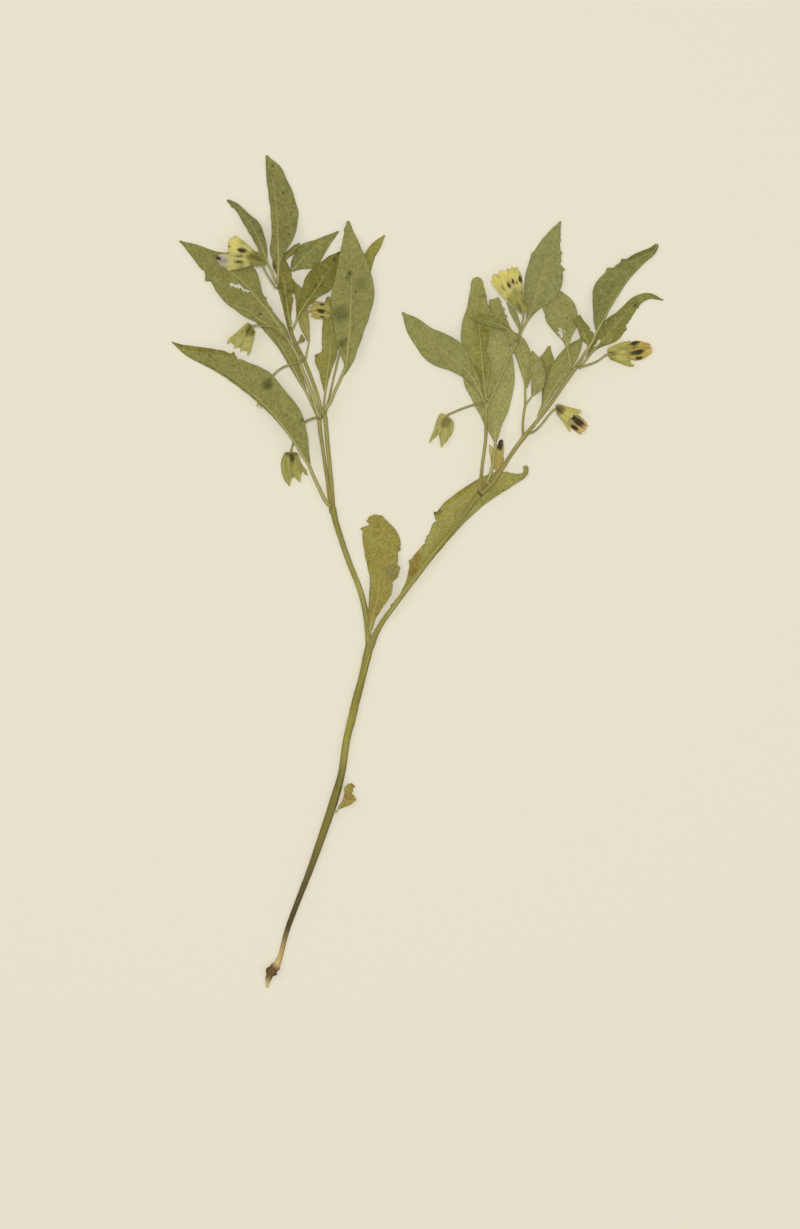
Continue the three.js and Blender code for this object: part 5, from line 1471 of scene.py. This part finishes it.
def calyx_mouth(calyx, wall, across):
    """How far a calyx wall reaches at places across it."""
    valley = calyx["valley"]
    reach = np.full_like(across, valley)
    for place, far, wide in calyx.get(wall, FIVE_TEETH):
        rise = np.clip(1 - np.abs(across - place) / wide, 0, 1) ** TOOTH_POINT
        reach = np.maximum(reach, valley + (far - valley) * rise)
    return reach


def corolla_mouth(corolla, wall, across):
    """How far a corolla wall reaches at places across it. The back mirrors the front and stays below it."""
    front = value_along(corolla["rim"], (across + 1) / 2)
    if wall == "front":
        return front
    return np.minimum(value_along(corolla["rim"][::-1], (across + 1) / 2), front) * BACK_SHORT


def wall_middles(found):
    """Heights of the solid's middle on both walls, filled in beside it and with its creases rounded off."""
    front, back = np.hsplit(found, 2)
    walls = [relax(fill_outward(wall.copy()), passes=6) for wall in (front, back[:, ::-1])]
    return np.hstack([walls[0], walls[1][:, ::-1]])


def cup_form(name, cup, mouth, depth, pleats, pleat_depth):
    """A cup pressed flat on its stalk: front and back walls that meet at the sides, with an open mouth."""
    path = Path(cup["rib"])
    stalk = cup.get("stalk", 0)
    length = path.length - stalk
    bed = Bed(name)
    turn = math.tau * (np.arange(CUP_AROUND) + 0.5) / CUP_AROUND
    across = -np.cos(turn)
    face = np.sin(turn)
    mouth_far = np.where(face > 0, mouth(cup, "front", across), mouth(cup, "back", across))
    rows = max(CUP_LEAST_ROWS, math.ceil(length / CUP_ROW))
    share = np.concatenate([CUP_FOOT, np.linspace(CUP_START, 1, rows)])
    far = stalk + length * share[:, None] * mouth_far[None, :]
    round_foot = np.sqrt(1 - np.clip(1 - share / FOOT_ROUND, 0, 1) ** 2)
    left, right = (value_along(cup[side], share) * round_foot for side in ("left", "right"))
    half = np.where(across[None, :] < 0, left[:, None], right[:, None])
    fold = np.cos(pleats * turn)[None, :]
    plan = path.place(far, across[None, :] * half * (1 + PLEAT_ASIDE * fold * share[:, None]))
    middle = wall_middles(bed.heights(plan).mean(-1))
    bulge = np.sign(face) * np.abs(face) ** BULGE
    deep = depth * np.interp(share, *CUP_DEPTH)[:, None]
    height = middle + bulge * deep * (1 + pleat_depth * fold * np.clip(share, PLEAT_LEAST, 1)[:, None])
    if "holds" in cup:
        under = Bed(cup["holds"]).heights(plan)[..., 0]
        lower = np.where(np.isnan(under), height, np.minimum(height, under + HELD_GAP))
        lower = relax(lower, passes=3)
        height = np.where(face[None, :] < 0, np.minimum(height, lower), height)
    height = np.maximum(height, CUP_FLOOR)

    mark = near_marks(cup.get("marks", []), plan, path.heading(stalk + length / 2), STRETCH)
    crest = np.broadcast_to((0.5 + 0.5 * fold) ** PLEAT_CREST, far.shape)
    values = {
        "tint": tone_over(cup["color"], cup.get("tones", []), plan).reshape(-1, 4),
        "mark": mark.ravel(),
        "pale": crest.ravel(),
        "blade": np.stack([far, np.broadcast_to(turn, far.shape), far * 0], -1).reshape(-1, 3),
    }
    form = Form()
    form.add(np.dstack([plan, height]), cup_faces(len(share)), **values)
    if stalk > 0:
        add_pedicel(form, path, stalk, bed)
    return form


def cup_faces(rows):
    """Faces of a tube with rings of CUP_AROUND points, closed at its foot."""
    faces = []
    for i in range(rows - 1):
        for j in range(CUP_AROUND):
            a = i * CUP_AROUND + j
            b = i * CUP_AROUND + (j + 1) % CUP_AROUND
            faces.append((a, b, b + CUP_AROUND, a + CUP_AROUND))
    faces.append(tuple(range(CUP_AROUND))[::-1])
    return faces


def add_pedicel(form, path, stalk, bed):
    """A flower's own stalk, which widens where it meets the cup."""
    run = np.append(np.arange(0, stalk, PEDICEL_STEP), stalk + PEDICEL_SUNK)
    plan = path.place(run)
    z = relax(fill_row(bed.heights(plan).mean(-1)), passes=4)
    thick = np.interp(run, [0, stalk - PEDICEL_SWELL, stalk + PEDICEL_SUNK], PEDICEL_THICK)
    tint = tone_over(PEDICEL_COLOR, [], plan)
    blade = np.column_stack([run, run * 0, run * 0])
    form.add_wire(np.column_stack([plan, z]), thick, stem_root(plan[0]), tint=tint, blade=blade)


# ---- The stem ----
STEM_STEP = 0.8
STEM_LEAST_STEPS = 8
STEM_WAVE = (5.0, 0.03)  # wavelength of a strand's change in width, and its size as a share of the width
STRAND_APART = 9.0  # keeps the waves of the strands apart
ROOT_KNOTS = (2.3, 0.18)  # knots of the root stub: radians per mm and size, as a share of its width
# Colours up the main stem: plan height and colour.
STEM_TONES = [
    (-128, "c9b48a"), (-124.6, "baa675"), (-122, "6a5229"), (-119, "62492b"), (-117.5, "c3ad74"),
    (-115, "b1965e"), (-110, "9a8554"), (-107.5, "75643a"), (-104, "4f4224"), (-92, "554b27"),
    (-84, "605729"), (-70, "766c32"), (-57, "726a30"), (-49, "6f672d"), (-40, "908844"), (-33, "8e863a"),
    (-18, "807a31"), (0, "897f40"), (20, "938b4a"), (45, "847c3b"), (66, "8f8648"), (80, "92894d"),
    (95, "989050"), (108, "938a4e"), (120, "837c42"),
]


def stem_tint(plan):
    levels = [level for level, _ in STEM_TONES]
    shades = np.array([linear(code) for _, code in STEM_TONES])
    return np.stack([np.interp(plan[..., 1], levels, shades[:, k]) for k in range(4)], -1)


def stem_form(look):
    """Every strand of the stem as one wire. The wires run into each other where the stem forks."""
    form = Form()
    bed = Bed("stem")
    for number, (name, knots) in enumerate(STRANDS.items()):
        path = Path(knots)
        run = np.linspace(0, path.length, max(STEM_LEAST_STEPS, math.ceil(path.length / STEM_STEP)))
        plan = path.place(run)
        wavelength, size = STEM_WAVE
        bump = Ripple(number, wavelength)(np.stack([run, np.full_like(run, STRAND_APART * number)], -1))
        width = np.interp(run, path.knot_far, [knot[2] for knot in knots]) * (1 + size * bump)
        if name == "root":
            pull, size = ROOT_KNOTS
            width = width * (1 + size * np.sin(run * pull) * np.sin(math.pi * run / path.length))
        low = relax(fill_row(bed.heights(plan)[:, 0]), passes=4)
        z = low + 0.5 * width * look.flatness * (1 + look.rib_depth)
        mark = near_marks(STEM_MARKS, plan)
        blade = np.column_stack([run, np.full_like(run, number), run * 0])
        form.add_wire(np.column_stack([plan, z]), width / 2, tint=stem_tint(plan), mark=mark, blade=blade)
    return form


# ---- Sizes and colours that a user may change ----
def length_of(name, description, default):
    limits = {"min": 0.0, "unit": "LENGTH", "subtype": "DISTANCE", "precision": 5}
    return bpy.props.FloatProperty(name=name, description=description, default=default, **limits)


def color_of(name, description, code):
    limits = {"size": 4, "min": 0.0, "max": 1.0, "subtype": "COLOR"}
    return bpy.props.FloatVectorProperty(
        name=name, description=description, default=tuple(linear(code)), **limits
    )


def share_of(name, description, default):
    limits = {"min": 0.0, "max": 4.0, "subtype": "FACTOR"}
    return bpy.props.FloatProperty(name=name, description=description, default=default, **limits)


def count_of(name, description, default, least=0):
    return bpy.props.IntProperty(name=name, description=description, default=default, min=least)


class LeafLook(bpy.types.PropertyGroup):
    thickness: length_of("Thickness", "Thickness of a dried leaf", 0.00024)
    tip_width: length_of("Tip width", "Width left at the tip of a leaf", 0.0001)
    swell: length_of("Swell", "How far the blade rises and falls between its side veins", 0.0001)
    vein_relief: length_of("Vein relief", "How far a side vein lifts the blade", 0.00007)
    rib_width: length_of("Rib width", "Width of a leaf stalk, before what its length adds", 0.00042)
    rib_color: color_of("Rib colour", "Colour of midribs and side veins", "aaa466")
    autumn_color: color_of("Yellowing", "Colour of the yellower clouds on a blade", "8f8a42")
    faded_color: color_of("Fading", "Colour of the greyer clouds on a blade", "868a60")


class StemLook(bpy.types.PropertyGroup):
    flatness: share_of("Flatness", "Height of the pressed stem as a share of its width", 0.64)
    ribs: count_of("Ribs", "Ribs round the stem", 7)
    rib_depth: share_of("Rib depth", "Depth of the ribs as a share of the stem's half-width", 0.07)
    sides: count_of("Sides", "Points round the stem", 28, 6)
    hair_length: length_of("Hair length", "Length of the stem's hairs", 0.0005)
    hair_width: length_of("Hair width", "Half-width of a hair at its root", 0.00003)
    hairs: bpy.props.FloatProperty(
        name="Hairs", description="Hairs on a square metre of the stem's surface", default=1.1e6, min=0.0
    )
    hair_seed: count_of("Hair seed", "Seed of the hairs' places", 4)


class CupLook(bpy.types.PropertyGroup):
    wall: length_of("Wall", "Thickness of a calyx or corolla", 0.00014)
    calyx_depth: length_of("Calyx depth", "Half the depth of a pressed calyx", 0.0005)
    corolla_depth: length_of("Corolla depth", "Half the depth of a pressed corolla", 0.0003)
    calyx_ribs: count_of("Calyx ribs", "Ribs round a calyx", 10, 1)
    pleats: count_of("Pleats", "Pleats round a corolla", 10, 1)


class StageLook(bpy.types.PropertyGroup):
    floor_size: length_of("Floor size", "Side of the square floor", 3.0)
    floor_color: color_of("Floor colour", "Colour of the pale floor", "e8e2cd")
    distance: length_of("Camera distance", "Height of the camera over the plant", 1.7)
    ambient: share_of("Ambient", "Strength of the even light from all round", 0.32)
    lamp_power: bpy.props.FloatProperty(
        name="Lamp power", description="Power that each lamp's factor multiplies", default=7.2,
        min=0.0, unit="POWER",
    )


LOOKS = {"leaf_look": LeafLook, "stem_look": StemLook, "cup_look": CupLook, "stage_look": StageLook}


# ---- One operator for each group of pieces ----
PLAIN_STALK = {"Sides": 8, "Ribs": 0, "Rib_Depth": 0.0}
RIB_FLATNESS = 0.75
PEDICEL_FLATNESS = 0.85
CALYX_NERVES = 3.2  # lines on a calyx for each radian round it
PETAL_NERVES = 5.0


class MakeStem(bpy.types.Operator):
    """Builds the ribbed, forked stem with its root stub and its hairs"""

    bl_idname = "groundcherry.make_stem"
    bl_label = "Make Stem"

    def execute(self, context):
        look = context.scene.stem_look
        skin = stem_finish()
        piece = rough_piece(stem_form(look), "fine_stem", [skin])
        ribs = {"Ribs": look.ribs, "Rib_Depth": look.rib_depth}
        grow(piece, stalk_tree(), Sides=look.sides, Flatness=look.flatness, **ribs, Material=skin)
        hairs = {"Per_Square_Metre": look.hairs, "Length": look.hair_length, "Root_Width": look.hair_width}
        grow(piece, hair_tree(), **hairs, Seed=look.hair_seed, Material=hair_finish())
        settle(piece, "stem", "stem")
        return {"FINISHED"}


class MakeLeaves(bpy.types.Operator):
    """Builds every leaf: a veined blade with its teeth, folds and holes, its midrib and its stalk"""

    bl_idname = "groundcherry.make_leaves"
    bl_label = "Make Leaves"

    def execute(self, context):
        look = context.scene.leaf_look
        skin = leaf_finish("Dried blade", look, is_vein=False)
        rib = leaf_finish("Leaf rib", look, is_vein=True)
        net = stalk_tree()
        for name, leaf in LEAVES.items():
            piece = rough_piece(Blade(name, leaf, look).form(), f"fine_{name}", [skin, rib])
            grow(piece, net, **PLAIN_STALK, Flatness=RIB_FLATNESS, Material=rib)
            settle(piece, "leaf", name)
        return {"FINISHED"}


def make_cup(form, name, finish, look, net, slot):
    """Gives a cup its thickness and its stalk, and hands it to the frame."""
    piece = rough_piece(form, f"fine_{name}", [finish])
    wall = piece.modifiers.new("Wall", "SOLIDIFY")
    wall.thickness = look.wall
    wall.offset = -1
    grow(piece, net, **PLAIN_STALK, Flatness=PEDICEL_FLATNESS, Material=finish)
    settle(piece, slot, name)


class MakeCalyces(bpy.types.Operator):
    """Builds the calyces: pressed cups with pointed teeth, each on its stalk"""

    bl_idname = "groundcherry.make_calyces"
    bl_label = "Make Calyces"

    def execute(self, context):
        look = context.scene.cup_look
        husk = husk_finish("Calyx", CALYX_STAIN, CALYX_NERVES)
        net = stalk_tree()
        for name, calyx in CALYCES.items():
            depth = look.calyx_depth / MM
            form = cup_form(name, calyx, calyx_mouth, depth, look.calyx_ribs, CALYX_PLEATS)
            make_cup(form, name, husk, look, net, "calyx")
        return {"FINISHED"}


class MakeCorollas(bpy.types.Operator):
    """Builds the flowers' corollas: pleated funnels pressed to fans, with stained throats"""

    bl_idname = "groundcherry.make_corollas"
    bl_label = "Make Corollas"

    def execute(self, context):
        look = context.scene.cup_look
        petal = husk_finish("Corolla", PETAL_STAIN, PETAL_NERVES)
        net = stalk_tree()
        for name, corolla in COROLLAS.items():
            depth = look.corolla_depth / MM
            form = cup_form(name, corolla, corolla_mouth, depth, look.pleats, COROLLA_PLEATS)
            make_cup(form, name, petal, look, net, "corolla")
        return {"FINISHED"}


class SetStage(bpy.types.Operator):
    """Sets a pale floor, soft light and a camera that looks straight down"""

    bl_idname = "groundcherry.set_stage"
    bl_label = "Set Stage"

    def execute(self, context):
        look = context.scene.stage_look
        self.lay_floor(context.scene, look)
        self.light(context.scene, look)
        self.aim_camera(context.scene, look)
        return {"FINISHED"}

    def lay_floor(self, scene, look):
        half = look.floor_size / 2
        mesh = bpy.data.meshes.new("floor")
        corners = [(-half, -half), (half, -half), (half, half), (-half, half)]
        mesh.from_pydata([(x, y, FLOOR_DROP) for x, y in corners], [], [(0, 1, 2, 3)])
        mesh.materials.append(floor_finish(look))
        floor = bpy.data.objects.new("floor", mesh)
        scene.collection.objects.link(floor)

    def light(self, scene, look):
        world = bpy.data.worlds.new("Even light")
        world.use_nodes = True
        sky = world.node_tree.nodes["Background"]
        sky.inputs["Color"].default_value = SKY_COLOR
        sky.inputs["Strength"].default_value = look.ambient
        scene.world = world
        for name, place, side, factor in LAMPS:
            lamp = bpy.data.lights.new(name, "AREA")
            lamp.shape = "SQUARE"
            lamp.size = side
            lamp.energy = look.lamp_power * factor
            lit = bpy.data.objects.new(name, lamp)
            lit.location = place
            lit.rotation_euler = Vector(place).to_track_quat("Z", "Y").to_euler()
            scene.collection.objects.link(lit)

    def aim_camera(self, scene, look):
        camera = bpy.data.cameras.new("camera")
        camera.lens = camera.sensor_width / 2 / (VIEW_HEIGHT * MM / 2 / look.distance)
        seer = bpy.data.objects.new("camera", camera)
        middle = (np.array(VIEW_MIDDLE) + FORK[:2]) * MM
        seer.location = (middle[0], middle[1], look.distance)
        scene.collection.objects.link(seer)
        scene.camera = seer
        scene.view_settings.view_transform = "Standard"
        scene.view_settings.look = "None"


STEPS = (MakeStem, MakeLeaves, MakeCalyces, MakeCorollas, SetStage)


class PlantPanel(bpy.types.Panel):
    """Lists the plant's steps and their sizes and colours"""

    bl_idname = "VIEW3D_PT_groundcherry"
    bl_label = "Pressed Groundcherry"
    bl_space_type = "VIEW_3D"
    bl_region_type = "UI"
    bl_category = "Groundcherry"

    def draw(self, context):
        for step in STEPS:
            self.layout.operator(step.bl_idname)
        for key in LOOKS:
            group = getattr(context.scene, key)
            box = self.layout.box()
            for name in group.__annotations__:
                box.prop(group, name)


CLASSES = (*LOOKS.values(), *STEPS, PlantPanel)


def register():
    for made in CLASSES:
        bpy.utils.register_class(made)
    for key, group in LOOKS.items():
        setattr(bpy.types.Scene, key, bpy.props.PointerProperty(type=group))


def unregister():
    for key in LOOKS:
        delattr(bpy.types.Scene, key)
    for made in reversed(CLASSES):
        bpy.utils.unregister_class(made)


def main():
    register()
    bpy.ops.groundcherry.set_stage()
    bpy.ops.groundcherry.make_stem()
    bpy.ops.groundcherry.make_leaves()
    bpy.ops.groundcherry.make_calyces()
    bpy.ops.groundcherry.make_corollas()


if __name__ == "__main__":
    main()
